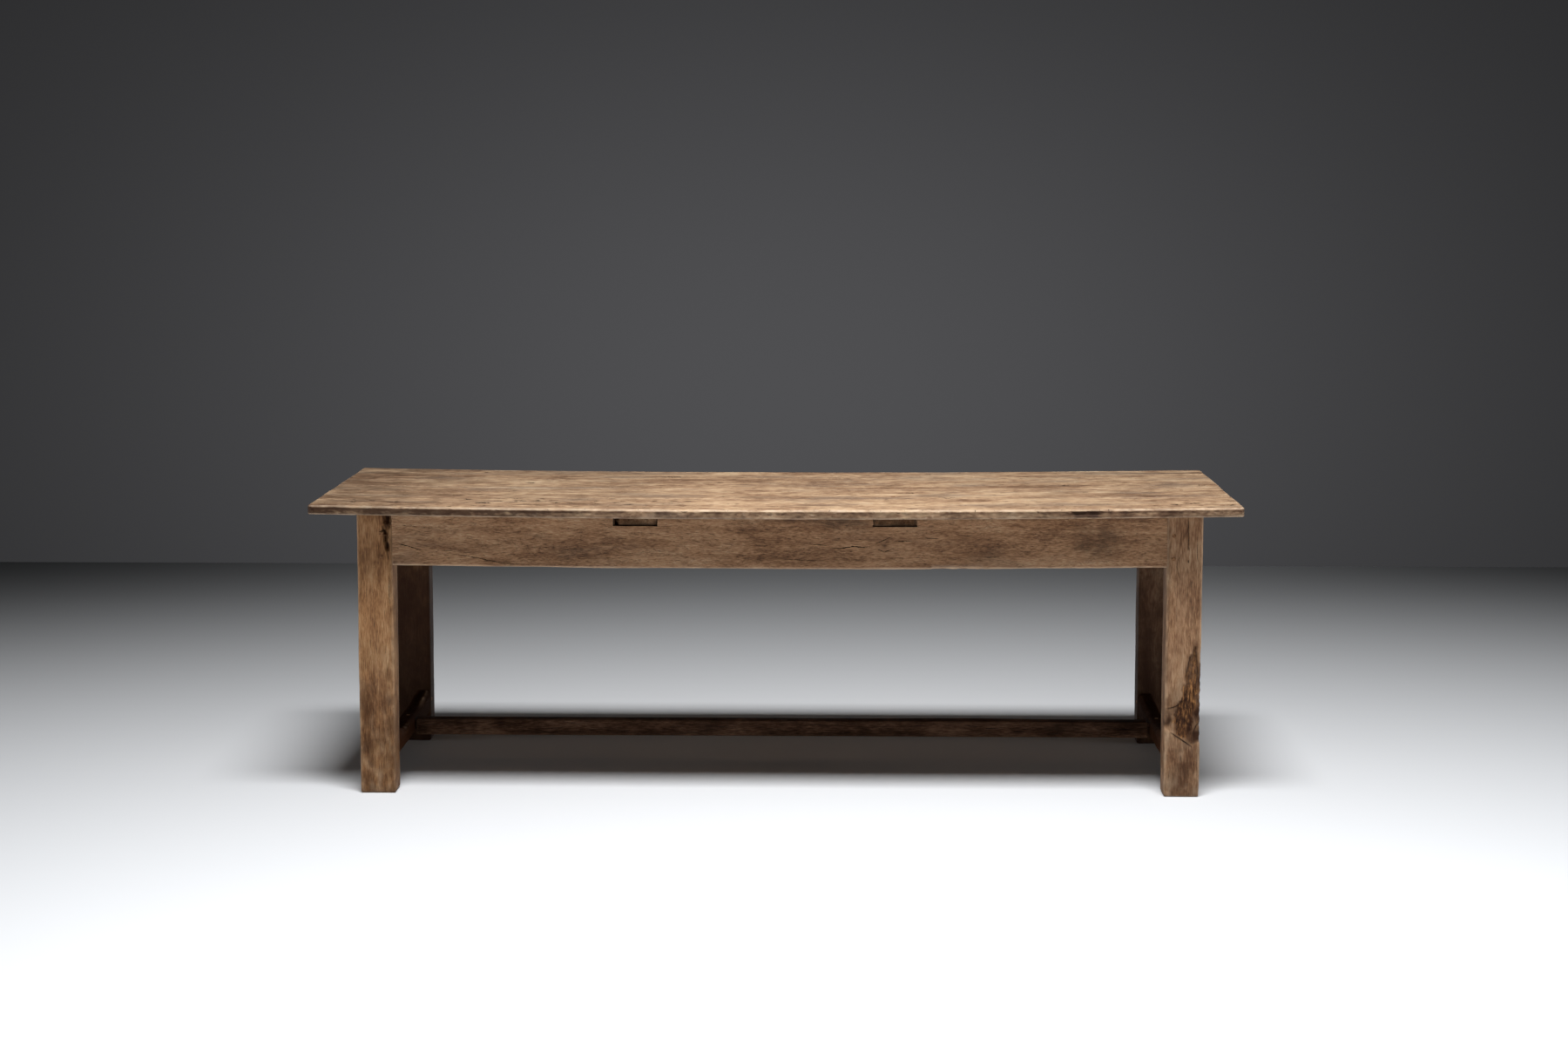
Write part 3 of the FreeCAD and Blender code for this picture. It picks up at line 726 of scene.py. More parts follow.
# %% Top sizes
TOP_THICKNESS = 0.024
BOARDS = ("top_board_front", "top_board_second", "top_board_third", "top_board_back")
SEAM_GAP = 0.0003
FRAME_GAP = 0.0004


def corners(name):
    """The lowest and highest corner of a solid."""
    low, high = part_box(name)
    return Vector(low), Vector(high)


front_low, front_high = corners("top_board_front")
back_high = corners("top_board_back")[1]
HALF_LENGTH = front_high.x
TOP_HEIGHT = front_high.z
TOP_SAG = front_high.z - front_low.z - TOP_THICKNESS
FRAME_TOP = TOP_HEIGHT - TOP_THICKNESS - FRAME_GAP


def sag(x):
    """How far the top hangs down at x."""
    return -TOP_SAG * (1 - (x / HALF_LENGTH) ** 2)


def on_top(u, v, deep):
    """A place on the top: u along, v to the back, deep into the wood."""
    return Vector((u, v, TOP_HEIGHT + sag(u) - deep))


print("top:", round(2 * HALF_LENGTH, 3), "x", round(back_high.y - front_low.y, 3), "sag", round(TOP_SAG, 4))

# %% [markdown]
# Marks that stand out on the real top are placed one by one: slots as a start, a length and a width, worm
# holes as points, and nicks as places along the front arris. They are in metres from the middle of the
# table.

# %% Slots, worm holes and nicks of the top
SLOTS = [
    ((-0.763, -0.280), 0.044, 0.022), ((-0.798, -0.222), 0.024, 0.014), ((-0.987, -0.287), 0.040, 0.012),
    ((-1.034, -0.271), 0.021, 0.012), ((-0.655, -0.239), 0.022, 0.012), ((-0.684, 0.108), 0.030, 0.019),
    ((-0.331, 0.250), 0.072, 0.016), ((-0.170, 0.143), 0.022, 0.015), ((-0.387, -0.281), 0.031, 0.012),
    ((-0.338, -0.345), 0.030, 0.008), ((0.335, -0.057), 0.024, 0.019), ((0.275, -0.185), 0.016, 0.012),
    ((0.424, -0.149), 0.046, 0.014), ((0.398, 0.310), 0.020, 0.014), ((1.026, -0.286), 0.050, 0.016),
    ((0.992, -0.300), 0.024, 0.012), ((1.126, -0.322), 0.028, 0.011), ((1.108, 0.050), 0.028, 0.019),
    ((0.754, 0.079), 0.026, 0.016), ((-0.823, 0.312), 0.014, 0.014),
]
WORM_HOLES = ((-0.737, -0.030), (-0.722, -0.046), (-0.716, -0.024), (-0.705, -0.058), (-0.695, -0.040),
              (-0.690, -0.070), (-1.017, -0.075), (-0.837, -0.150))
EDGE_RADIUS = 0.0060
EDGE_LOOPS = (0.0030, 0.0045, 0.0062, 0.0090)
BROKEN_EDGE = (0.735, 0.818)
BACK_CHIP = -0.465
EDGE_SPLITS = ((0.500, 0.0045), (0.716, 0.0030), (0.742, 0.0050), (0.806, 0.0035), (0.829, 0.0050),
               (-0.565, 0.0035), (-0.475, 0.0030), (-0.341, 0.0035), (-0.149, 0.0030), (0.139, 0.0035),
               (0.234, 0.0030))


def on_front_arris(u, v, deep):
    """A place on the slope of the front arris: v runs down over it, deep goes in at 45 degrees."""
    slope = math.sqrt(0.5)
    inset = EDGE_RADIUS * (1 - slope)
    y = front_low.y + inset - v * slope + deep * slope
    z = TOP_HEIGHT + sag(u) - inset - v * slope - deep * slope
    return Vector((u, y, z))


print("slots:", len(SLOTS), "edge splits:", len(EDGE_SPLITS), "worm holes:", len(WORM_HOLES))

# %% [markdown]
# The front arris is rubbed round by elbows and chipped, the ends are a little crooked, and the face has
# shallow hollows. The front board has a finer grid and extra loops at its front edge, because the eye rests
# there.

# %% Shape a board
def top_radius(is_front, is_back, seed):
    """The rubbed radius of each arris of a board."""
    def radius_at(a, side_a, b, side_b, co):
        along = co[3 - a - b]
        shake = 1 + 0.30 * ripple(along * 9, a, b + side_a, seed) + 0.25 * ripple(along * 75, b, side_b, seed)
        outer = (is_front and a == 1 and side_a < 0) or (is_back and a == 1 and side_a > 0)
        if (a, b) == (1, 2):
            if outer:
                return (EDGE_RADIUS if side_b > 0 else 0.0035) * max(0.3, shake)
            return 0.0022 * max(0.3, shake)
        if (a, b) == (0, 2):
            return (0.006 if side_b > 0 else 0.004) * max(0.3, shake)
        corner = (is_front and side_b < 0) or (is_back and side_b > 0)
        return 0.013 if corner else 0.002
    return radius_at


def shape_board(number, low, high, seed):
    """A board with rubbed arrises, a chipped front edge, shallow hollows and the sag of the top."""
    is_front = number == 0
    is_back = number == len(BOARDS) - 1
    bm = blank(low, high, 0.0015, (0.004, 0.005, 0.002) if is_front else (0.005, 0.005, 0.004))
    for inset in EDGE_LOOPS if is_front else ():
        bmesh.ops.bisect_plane(bm, geom=bm.verts[:] + bm.edges[:] + bm.faces[:], dist=1e-6,
                               plane_co=(0.0, low.y + inset, 0.0), plane_no=(0.0, 1.0, 0.0))
    radius_at = top_radius(is_front, is_back, seed)
    for point in bm.verts:
        co = point.co
        rub_arrises(co, low, high, radius_at)
        near_end = max(0.0, 1 - (HALF_LENGTH - abs(co.x)) / 0.05)
        co.x += near_end * (0.0016 * ripple(co.y * 6, 0, math.copysign(3, co.x), 1.0) - 0.0006 * (number % 2))
        if is_front:
            near_edge = max(0.0, 1 - (co.y - low.y) / 0.05)
            wander = 0.0022 * waves(co, 4, 0, 0, seed) + 0.0008 * waves(co, 28, 0, 0, seed)
            co.y += near_edge * wander
            near_arris = max(0.0, 1 - (co.y - low.y + high.z - co.z) / 0.014)
            chip = near_arris * max(0.0, waves(co, 62, 0, 0, seed + 2) - 0.15)
            co.y += 0.0045 * chip
            co.z -= 0.0040 * chip
            if BROKEN_EDGE[0] < co.x < BROKEN_EDGE[1] and near_edge > 0.6:
                below = high.z - co.z
                hollow = ease((below - 0.004) / 0.002) * ease((0.018 - below) / 0.004)
                co.y += 0.0045 * hollow * max(0.0, 0.7 + waves(co, 45, 0, 90, seed))
        if is_back:
            near_edge = max(0.0, 1 - (high.y - co.y) / 0.04)
            chip = max(0.0, 1 - abs(co.x - BACK_CHIP) / 0.03)
            co.y -= near_edge * (0.0015 + 0.0022 * waves(co, 5, 0, 0, seed) + 0.007 * chip)
        if co.z > TOP_HEIGHT - 0.006:
            broad = 0.0009 * waves(co, 2.2, 9, 0, seed)
            hollow = broad + 0.0005 * waves(co, 12, 60, 0, seed)
            co.z += hollow - 0.0008 - 0.0003 * (number % 2)
        co.z += sag(co.x)
    return bm


# %% [markdown]
# The placed marks are cut first. Then many short checks are sprinkled over the rest by a seeded random
# draw, each clear of the others, because two cutters that overlap would spoil the Boolean.

# %% Cut a board
def cut_board(piece, number, low, high, seed):
    """Takes the slots, worm holes, nicks and small checks out of a board."""
    is_front = number == 0
    cutters = bmesh.new()
    taken = []
    for name in PEG_NODES:
        if name.startswith("top_pegs"):
            taken += [((a.x + b.x) / 2, (a.y + b.y) / 2) for a, b in PEG_BOXES[name]]
    for count, (start, length, width) in enumerate(SLOTS):
        if low.y + 0.006 < start[1] < high.y - 0.006:
            path = [start, (start[0] + length, start[1] + 0.002)]
            add_split(cutters, on_top, path, width, 0.007, seed + count)
            taken += path_spots(path)
    for count, spot in enumerate(WORM_HOLES):
        if low.y < spot[1] < high.y:
            add_split(cutters, on_top, [spot, (spot[0] + 0.005, spot[1])], 0.004, 0.006, seed + count)
            taken += [spot]
    if is_front:
        draw = random.Random(17)
        spots = [(x, 0.6 * width, 0.010) for x, width in EDGE_SPLITS]
        x = -HALF_LENGTH + 0.03
        while x < HALF_LENGTH - 0.03:
            width = draw.uniform(0.0009, 0.0022)
            if min(abs(x - place) for place, size in EDGE_SPLITS) > 0.012:
                spots.append((x, width, draw.uniform(0.003, 0.008)))
            x += draw.uniform(0.030, 0.110)
        for count, (x, width, length) in enumerate(spots):
            start = draw.uniform(-0.009, 0.0)
            lean = draw.uniform(-0.5, 0.5) * length
            path = [(x, start), (x + lean, start + length)]
            add_split(cutters, on_front_arris, path, width, 0.003, seed + count)
    if is_front:
        sprinkle(cutters, on_top, (-1.10, low.y + 0.016), (1.10, low.y + 0.050), 50, 0.022, 0.007, 0.004,
                 taken, 48)
        sprinkle(cutters, on_top, (-1.10, low.y + 0.020), (-0.20, high.y - 0.020), 45, 0.026, 0.011, 0.005,
                 taken, 47)
    sprinkle(cutters, on_top, (-1.13, low.y + 0.016), (1.13, high.y - 0.012), round(300 * (high.y - low.y)),
             0.030, 0.005, 0.004, taken, 50 + number)
    carve(piece, cutters, 1)


# %% [markdown]
# The tree's heart lies under each board, so the rings come up as long lines. The front arris is rubbed pale,
# with the pale kept to its upper half as a painted highlight. The edge below it is darkened, partly with dirt
# and partly with painted shade, the underside is darker, and the ends of the top are darker than its middle.

# %% Colour a board
HEART_DEPTH = 0.075


def colour_board(piece, number, low, high, seed):
    """Stores the rings, wear with a painted highlight, dirt with painted shade, and tone of a board."""
    is_front = number == 0
    heart = ((low.y + high.y) / 2 + 0.03 * ripple(number, 0, 0, 2.0), TOP_HEIGHT - HEART_DEPTH)

    def rings_at(co):
        across = co.y - heart[0] + 0.018 * waves(co, 1.1, 0, 0, seed)
        under = co.z - sag(co.x) - heart[1] + 0.016 * co.x + 0.014 * ripple(co.x * 0.9, 7, 0, seed)
        return math.hypot(across, under) + 0.004 * waves(co, 3, 12, 0, seed)

    def wear_and_highlight_at(co):
        flat = Vector((co.x, co.y, co.z - sag(co.x)))
        rubbed = ease(1.7 - edge_gap(flat, low, high) / 0.0030)
        below = TOP_HEIGHT - flat.z
        upper = below < 0.013
        front = is_front and co.y < low.y + 0.02
        # The pale of the front arris is rubbed wear, kept to its upper half as a painted highlight.
        if upper and front:
            rubbed = ease((0.0056 - below) / 0.0016) * ease((0.010 - co.y + low.y) / 0.006)
        patchy = 0.75 + 0.7 * waves(co, 24, 0, 0, seed) + 0.5 * waves(co, 90, 60, 0, seed)
        return clamp(rubbed * (0.64 if upper and front else 0.45 if front else 0.3) * patchy)

    def soil_at(co):
        flat = co.z - sag(co.x)
        face = 0.0
        below = TOP_HEIGHT - flat
        # The face of the front edge is darkened, partly as dirt and partly as painted shade below the arris.
        if is_front and co.y < low.y + 0.012 and below > 0.0040:
            leftward = clamp((-0.35 - co.x) / 0.35)
            rightward = ease((co.x - 0.45) / 0.40)
            mottle = 0.20 * waves(co, 22, 0, 80, seed)
            mottle += 0.25 * waves(co, 80, 0, 200, seed)
            under = hump(below, 0.0085, 0.003)
            broken = ease((co.x - BROKEN_EDGE[0]) / 0.02) * ease((BROKEN_EDGE[1] - co.x) / 0.02)
            face = 0.50 + 0.42 * leftward + 0.16 * rightward + 0.20 * under + 0.30 * broken + mottle
            face *= ease((below - 0.0042) / 0.0018)
        if flat < TOP_HEIGHT - TOP_THICKNESS + 0.002:
            face = 0.45
        left_end = 0.30 * ease((-0.15 - co.x) / 0.40) + 0.30 * ease((-0.72 - co.x) / 0.40)
        right_end = 0.24 * ease((co.x - 0.35) / 0.40)
        ends = (left_end + right_end) * (1 + 0.4 * waves(co, 5, 9, 0, seed))
        right_line = 0.72 * hump(co.y, 0.310, 0.018) * ease((co.x - 0.86) / 0.16)
        return min(0.95, max(0.0, face, ends, right_line))

    def lift_at(co):
        return 0.05 * waves(co, 1.6, 6, 0, seed) - 0.01 * (number == 1)

    store(piece, rings=rings_at, worn=wear_and_highlight_at, soil=soil_at, lift=lift_at)


# %% [markdown]
# Each board is now made from the box of its own solid. A hair is left out at each seam, so that the boards
# show as fine lines and don't run into each other.

# %% Make the boards
for number, board in enumerate(BOARDS):
    low, high = corners(board)
    low.z = TOP_HEIGHT - TOP_THICKNESS
    high.z = TOP_HEIGHT
    low.y += 0.0 if number == 0 else SEAM_GAP
    high.y -= 0.0 if number == len(BOARDS) - 1 else SEAM_GAP
    seed = 3.7 + 11.3 * number
    piece = add_piece("worn_" + board, shape_board(number, low, high, seed), top_oak, split_dirt_and_shade_oak)
    cut_board(piece, number, low, high, seed)
    colour_board(piece, number, low, high, seed)
    finish_piece(piece, "oak_top", board)

# %% [markdown]
# ## The long aprons
# The front and back aprons are boards on edge between the legs, cut with two notches for the cross bearers.
# The front one is dry and full of short wavy checks, with a few long splits and small knots. The long
# splits are drawn as paths over its face, in metres along and up.

# %% Apron sizes, splits and knots
APRON_HEIGHT = 0.135
LEG_REACH = 0.002
NOTCH_SIDE_GAP = 0.002
NOTCH_FLOOR_GAP = 0.0018
APRON_SPLITS = [
    ([(-0.962, 0.646), (-0.935, 0.638), (-0.890, 0.626)], 0.0020),
    ([(-0.842, 0.626), (-0.812, 0.625)], 0.0012),
    ([(-0.815, 0.617), (-0.787, 0.613), (-0.747, 0.606), (-0.690, 0.594), (-0.643, 0.592)], 0.0018),
    ([(0.093, 0.645), (0.133, 0.641)], 0.0014),
    ([(0.141, 0.636), (0.162, 0.634), (0.196, 0.639), (0.236, 0.637)], 0.0027),
    ([(0.249, 0.646), (0.270, 0.653), (0.297, 0.666)], 0.0014), ([(0.297, 0.652), (0.348, 0.654)], 0.0018),
    ([(0.258, 0.632), (0.275, 0.625), (0.295, 0.631)], 0.0018), ([(0.378, 0.659), (0.413, 0.660)], 0.0014),
    ([(0.457, 0.669), (0.500, 0.666)], 0.0012), ([(-0.177, 0.626), (-0.120, 0.626)], 0.0010),
    ([(0.014, 0.607), (0.070, 0.604), (0.124, 0.603)], 0.0010),
]
APRON_KNOTS = ((-0.824, 0.606, 0.005), (-0.625, 0.638, 0.006), (-0.559, 0.636, 0.006), (-0.698, 0.652, 0.004),
               (0.276, 0.640, 0.010))
CHIPPED_EDGE = (0.394, 0.525)
left_leg_high = corners("leg_front_left")[1]
right_leg_low = corners("leg_front_right")[0]
print("between the legs:", round(right_leg_low.x - left_leg_high.x, 3))

# %% [markdown]
# The apron hangs with the top's sag. Its foot is a little uneven and chipped in one place, and its upper
# edge falls away from the top near the right leg, where a dark line shows.

# %% Shape a long apron
def even_radius(size, seed):
    """One radius for all arrises, a little uneven."""
    def radius_at(a, side_a, b, side_b, co):
        along = co[3 - a - b]
        return size * (1 + 0.35 * ripple(along * 8, a + side_a, b + side_b, seed)
                       + 0.3 * ripple(along * 38, a - side_a, b, seed))
    return radius_at


def shape_apron(low, high, front, face_y, seed):
    """A board on edge with rubbed arrises, a wavy face and the sag of the top."""
    bm = blank(low, high, 0.0012, (0.005, 0.006, 0.005))
    radius_at = even_radius(0.0035, seed)
    for point in bm.verts:
        co = point.co
        rub_arrises(co, low, high, radius_at)
        wave = 0.0009 * waves(co, 3, 0, 14, seed) + 0.0004 * waves(co, 14, 0, 90, seed)
        if abs(co.y - face_y) < 0.004:
            co.y -= front * abs(wave)
        if co.z < low.z + 0.004:
            co.z += 0.0012 * waves(co, 6, 20, 0, seed)
            if front < 0 and CHIPPED_EDGE[0] < co.x < CHIPPED_EDGE[1] and co.y < low.y + 0.01:
                co.z += 0.004 * max(0.0, 0.3 + waves(co, 60, 0, 0, seed))
        if co.z > high.z - 0.004:
            co.z -= 0.0016 * max(0.0, (co.x - 0.75) / 0.22)
        co.z += sag(co.x)
    return bm


# %% [markdown]
# The two notches are plain boxes, a little wider than the bearer ends that lie in them. They go into the
# same cutter as the splits.

# %% Cut a long apron
def add_box(cutters, low, high):
    """Adds a plain box to a cutter."""
    made = bmesh.ops.create_cube(cutters, size=1.0)["verts"]
    bmesh.ops.scale(cutters, vec=high - low, verts=made)
    bmesh.ops.translate(cutters, vec=(low + high) / 2, verts=made)


def cut_apron(piece, low, high, front, face_y, seed):
    """Takes the notches, splits and small checks out of a long apron."""
    cutters = bmesh.new()
    taken = []
    for bearer in ("bearer_left", "bearer_right"):
        end_low, end_high = corners(bearer)
        notch_low = Vector((end_low.x - NOTCH_SIDE_GAP, low.y - 0.01, end_low.z - NOTCH_FLOOR_GAP))
        notch_high = Vector((end_high.x + NOTCH_SIDE_GAP, high.y + 0.01, high.z + 0.02))
        add_box(cutters, notch_low, notch_high)
        taken += [(notch_low.x + k * 0.006, notch_low.z + j * 0.006) for k in range(20) for j in range(6)]

    def on_face(u, v, deep):
        return Vector((u, face_y - front * deep, v))

    if front < 0:
        for count, (path, width) in enumerate(APRON_SPLITS):
            add_split(cutters, on_face, path, width, 0.010, seed + count)
            taken += path_spots(path)
    foot = low.z - TOP_SAG
    sprinkle(cutters, on_face, (low.x + 0.03, foot + 0.02), (high.x - 0.03, foot + APRON_HEIGHT - 0.012),
             150 if front < 0 else 70, 0.022, 0.0009, 0.003, taken, 70 + front)
    carve(piece, cutters, 1)


# %% [markdown]
# The rings swell round each knot, so the lines of the grain bend past it. A band under the top is painted
# shade, dirt lies in the knots and in two dark smudges, and the foot is rubbed pale.

# %% Colour a long apron
def colour_apron(piece, low, high, front, face_y, seed):
    """Stores the rings, wear, dirt with painted shade, and tone of a long apron."""
    knots = APRON_KNOTS if front < 0 else ((-0.4, 0.65, 0.008), (0.52, 0.63, 0.009))
    heart_z = (low.z + high.z) / 2 - 0.015

    def rings_at(co):
        across = co.z - sag(co.x) - heart_z + 0.016 * waves(co, 1.6, 0, 0, seed)
        behind = co.y - face_y - front * 0.07 + 0.012 * ripple(co.x * 1.2, 5, 0, seed)
        swell = sum(0.7 * size * math.exp(-((co.x - x) / (3.2 * size)) ** 2
                                          - ((co.z - z) / (1.7 * size)) ** 2) for x, z, size in knots)
        return math.hypot(across, behind) + swell + 0.003 * waves(co, 5, 0, 25, seed)

    def wear_and_highlight_at(co):
        gap = edge_gap(Vector((co.x, co.y, co.z - sag(co.x))), low, high)
        foot_edge = co.z - sag(co.x) < low.z + 0.012
        chipped = front < 0 and CHIPPED_EDGE[0] < co.x < CHIPPED_EDGE[1]
        patchy = 0.8 + 0.5 * waves(co, 30, 0, 30, seed)
        reach = 0.012 if chipped else 0.0055
        return clamp(max(0.0, 1 - gap / reach) * (0.85 if foot_edge else 0.25) * patchy)

    def soil_at(co):
        # A band of painted shade under the top.
        dark = max(0.0, 0.55 - (high.z - (co.z - sag(co.x))) / 0.03) * 0.8
        for x, z, size in knots:
            dark = max(dark, 0.8 * math.exp(-((co.x - x) ** 2 + (co.z - z) ** 2) / size ** 2 * 2.4))
        if front < 0:
            dark = max(dark, 0.70 * math.exp(-((co.x - 0.18) / 0.06) ** 4 - ((co.z - 0.70) / 0.012) ** 2))
            dark = max(dark, 0.60 * math.exp(-((co.x - 0.81) / 0.06) ** 4 - ((co.z - 0.655) / 0.045) ** 4))
        return min(0.9, dark)

    store(piece, rings=rings_at, worn=wear_and_highlight_at, soil=soil_at,
          lift=lambda co: 0.03 * waves(co, 1.5, 0, 9, seed))


# %% [markdown]
# Both aprons go through the same three steps. They end just inside the legs, because their tenons are
# hidden there and the worn copies don't need them.

# %% Make the long aprons
for apron, front in (("apron_front", -1), ("apron_back", 1)):
    low, high = corners(apron)
    low.x = left_leg_high.x - LEG_REACH
    high.x = right_leg_low.x + LEG_REACH
    high.z = FRAME_TOP
    low.z = high.z - APRON_HEIGHT
    face_y = low.y if front < 0 else high.y
    seed = 41.0 + 6 * front
    piece = add_piece("worn_" + apron, shape_apron(low, high, front, face_y, seed), apron_oak, split_dirt_and_shade_oak)
    cut_apron(piece, low, high, front, face_y, seed)
    colour_apron(piece, low, high, front, face_y, seed)
    finish_piece(piece, "oak_apron", apron)

# %% [markdown]
# ## The end aprons
# Two shorter boards on edge close the frame under the ends of the top. Little of them is seen from the
# front, so they are simply worn like the back apron, with the grain running from front to back.

# %% Make the end aprons
for apron, side in (("apron_end_left", -1), ("apron_end_right", 1)):
    low, high = corners(apron)
    low.y = left_leg_high.y - LEG_REACH
    high.y = -left_leg_high.y + LEG_REACH
    high.z = FRAME_TOP
    low.z = high.z - APRON_HEIGHT
    face_x = low.x if side < 0 else high.x
    seed = 61.0 + 7 * side
    bm = blank(low, high, 0.0012, (0.006, 0.005, 0.005))
    radius_at = even_radius(0.0035, seed)
    for point in bm.verts:
        co = point.co
        rub_arrises(co, low, high, radius_at)
        if abs(co.x - face_x) < 0.004:
            co.x -= side * abs(0.0009 * waves(co, 0, 3, 14, seed))
        co.z += sag(co.x)
    piece = add_piece("worn_" + apron, bm, end_apron_oak, split_dirt_and_shade_oak)

    def on_face(u, v, deep):
        return Vector((face_x - side * deep, u, v))

    cutters = bmesh.new()
    foot = low.z + sag(face_x)
    sprinkle(cutters, on_face, (low.y + 0.03, foot + 0.02), (high.y - 0.03, foot + APRON_HEIGHT - 0.012), 26,
             0.035, 0.0018, 0.004, [], 90 + side)
    carve(piece, cutters, 1)
    heart_z = (low.z + high.z) / 2

    def rings_at(co):
        across = co.z - heart_z + 0.016 * ripple(co.y * 2.0, 0, 0, seed)
        behind = co.x - face_x - side * 0.07 + 0.012 * ripple(co.y * 1.6, 5, 0, seed)
        return math.hypot(across, behind) + 0.003 * ripple(co.y * 5, 0, co.z * 25, seed)

    def wear_and_highlight_at(co):
        gap = edge_gap(Vector((co.x, co.y, co.z - sag(co.x))), low, high)
        return max(0.0, 1 - gap / 0.006) * (0.7 if co.z < low.z + 0.01 else 0.2)

    # Their darkening is a band of painted shade under the top.
    store(piece, rings=rings_at, worn=wear_and_highlight_at,
          soil=lambda co: max(0.0, 0.5 - (high.z - co.z) / 0.03) * 0.8,
          lift=lambda co: 0.03 * waves(co, 0, 1.5, 9, seed))
    finish_piece(piece, "oak_apron", apron)

# %% [markdown]
# ## The legs
# The legs are square posts. The front left one has a decayed strip beside the apron, and the front right
# one a long rotten place near its foot. A Boolean would leave clean walls, so rot and decay are shares from
# 0 to 1 over the face: they press the grid in with noise, and later colour it, so that shape and colour
# agree.

# %% Leg splits, rot and decay
LEG_SPLITS = {
    "leg_front_left": [([(0.568, -0.974), (0.53, -0.976), (0.483, -0.975)], 0.0016),
                       ([(0.625, -0.978), (0.600, -0.977)], 0.0016)],
    "leg_front_right": [([(0.716, 1.036), (0.67, 1.0365), (0.635, 1.038)], 0.0017),
                        ([(0.609, 1.038), (0.600, 1.038)], 0.0026),
                        ([(0.668, 1.059), (0.613, 1.060), (0.595, 1.066)], 0.0010),
                        ([(0.626, 1.022), (0.607, 1.012), (0.590, 1.009), (0.571, 1.014), (0.551, 1.023)],
                         0.0010)],
    "leg_back_left": [([(0.590, -0.985), (0.545, -0.986)], 0.003),
                      ([(0.525, -0.986), (0.490, -0.987)], 0.003)],
    "leg_back_right": [([(0.50, 1.030), (0.48, 1.031)], 0.006)],
}
ROT_CREVICES = (([(0.228, 0.992), (0.230, 1.002), (0.236, 1.018), (0.247, 1.026)], 0.0020),
                ([(0.166, 1.001), (0.153, 1.021), (0.141, 1.038), (0.131, 1.053)], 0.0024),
                ([(0.192, 1.070), (0.184, 1.064), (0.170, 1.059), (0.153, 1.0575)], 0.0026),
                ([(0.385, 1.0595), (0.364, 1.0625), (0.332, 1.0650), (0.297, 1.0640), (0.275, 1.0610)],
                 0.0014),
                ([(0.366, 1.0485), (0.349, 1.044), (0.332, 1.0405), (0.312, 1.0375)], 0.0012))
ROT_MIDDLE = ((0.155, 1.033), (0.192, 1.032), (0.217, 1.035), (0.251, 1.043), (0.297, 1.0495),
              (0.364, 1.0556), (0.395, 1.0595))
ROT_HALF = ((0.150, 0.007), (0.172, 0.017), (0.192, 0.022), (0.251, 0.018), (0.297, 0.015), (0.332, 0.012),
            (0.364, 0.007), (0.395, 0.002))
SWEEP_LINE = ((0.504, 1.044), (0.416, 1.062), (0.349, 1.050))
ROT_LEDGE_LINE = ((0.986, 0.176), (1.001, 0.166), (1.038, 0.141), (1.053, 0.131), (1.074, 0.140))
TORN_SOFT = 0.012
DECAY_FOOT = 0.626
DECAY_LEFT = ((0.625, -0.981), (0.650, -0.985), (0.675, -0.9915), (0.717, -0.9925))
DECAY_RIGHT = ((0.625, -0.976), (0.680, -0.976), (0.692, -0.966), (0.717, -0.960))
DECAY_HOLES = ((-0.9880, 0.674, 0.0064, 0.0055), (-0.9800, 0.640, 0.0050, 0.0110),
               (-0.9790, 0.708, 0.0060, 0.0085), (-0.9850, 0.655, 0.0030, 0.0100))
print("crevices:", len(ROT_CREVICES), "decay holes:", len(DECAY_HOLES))

# %% [markdown]
# Rot follows the grain, so its middle line and its half width change with the height, and noise makes the
# border ragged. The torn wood round it ends at a slanting ledge. For the shape the border is keen, for the
# colour soft.

# %% Shares of rot and decay
def along_line(line, place):
    """The height of a bent line at a place, straight between its points."""
    for (a, low_side), (b, high_side) in zip(line, line[1:]):
        if place <= b:
            return low_side + (high_side - low_side) * clamp((place - a) / (b - a))
    return line[-1][1]


def rot_share(x, z):
    """How rotten the front right leg's face is at a place, 0 to 1."""
    ragged = 0.006 * ripple(x * 60, 0, z * 45, 3.0) + 0.004 * ripple(x * 160, 0, z * 120, 5.0)
    away = abs(x - along_line(ROT_MIDDLE, z) + ragged) / along_line(ROT_HALF, z)
    return ease(1.6 - away) * ease((z - 0.146) / 0.014) * ease((0.400 - z) / 0.02)


def torn_share(x, z, soft):
    """How torn the wood round the rot is, 0 to 1: a belt at its foot and the strip on its right."""
    belt = 0.9 * math.exp(-((z - 0.195) / 0.060) ** (2 if soft else 4))
    right = ease((x - along_line(ROT_MIDDLE, z)) / (0.012 + soft) + 0.5)
    ledge = ease((z - along_line(ROT_LEDGE_LINE, x) + soft) / (0.004 + 2 * soft))
    return max(belt, right) * ledge * ease((0.395 - z) / (0.03 + 4 * soft))


def decay_share(x, z):
    """How decayed the front left leg's face is at a place, 0 to 1."""
    ragged = 0.004 * ripple(x * 70, 0, z * 70, 9.0) + 0.003 * ripple(x * 170, 0, z * 150, 2.0)
    left = ease((x - along_line(DECAY_LEFT, z) + ragged) / 0.004 + 0.5)
    right = ease((along_line(DECAY_RIGHT, z) - x + ragged) / 0.003 + 0.5)
    return left * right * ease((z - DECAY_FOOT + ragged) / 0.010)


def hole_share(x, z):
    """How deep in one of the holes of the decayed strip a place lies, 0 to 1."""
    best = 0.0
    for hole_x, hole_z, half_x, half_z in DECAY_HOLES:
        away = math.hypot((x - hole_x) / half_x, (z - hole_z) / half_z)
        away += 0.5 * ripple(x * 170, 0, z * 110, 6.0)
        best = max(best, ease(1.5 - away))
    return best


def path_gap(path, u, v):
    """How far a place on a face is from a path."""
    spot = Vector((u, v))
    best = 1.0
    for a, b in zip(path, path[1:]):
        start = Vector(a)
        run = Vector(b) - start
        share = clamp((spot - start).dot(run) / run.length_squared)
        best = min(best, (spot - start - run * share).length)
    return best


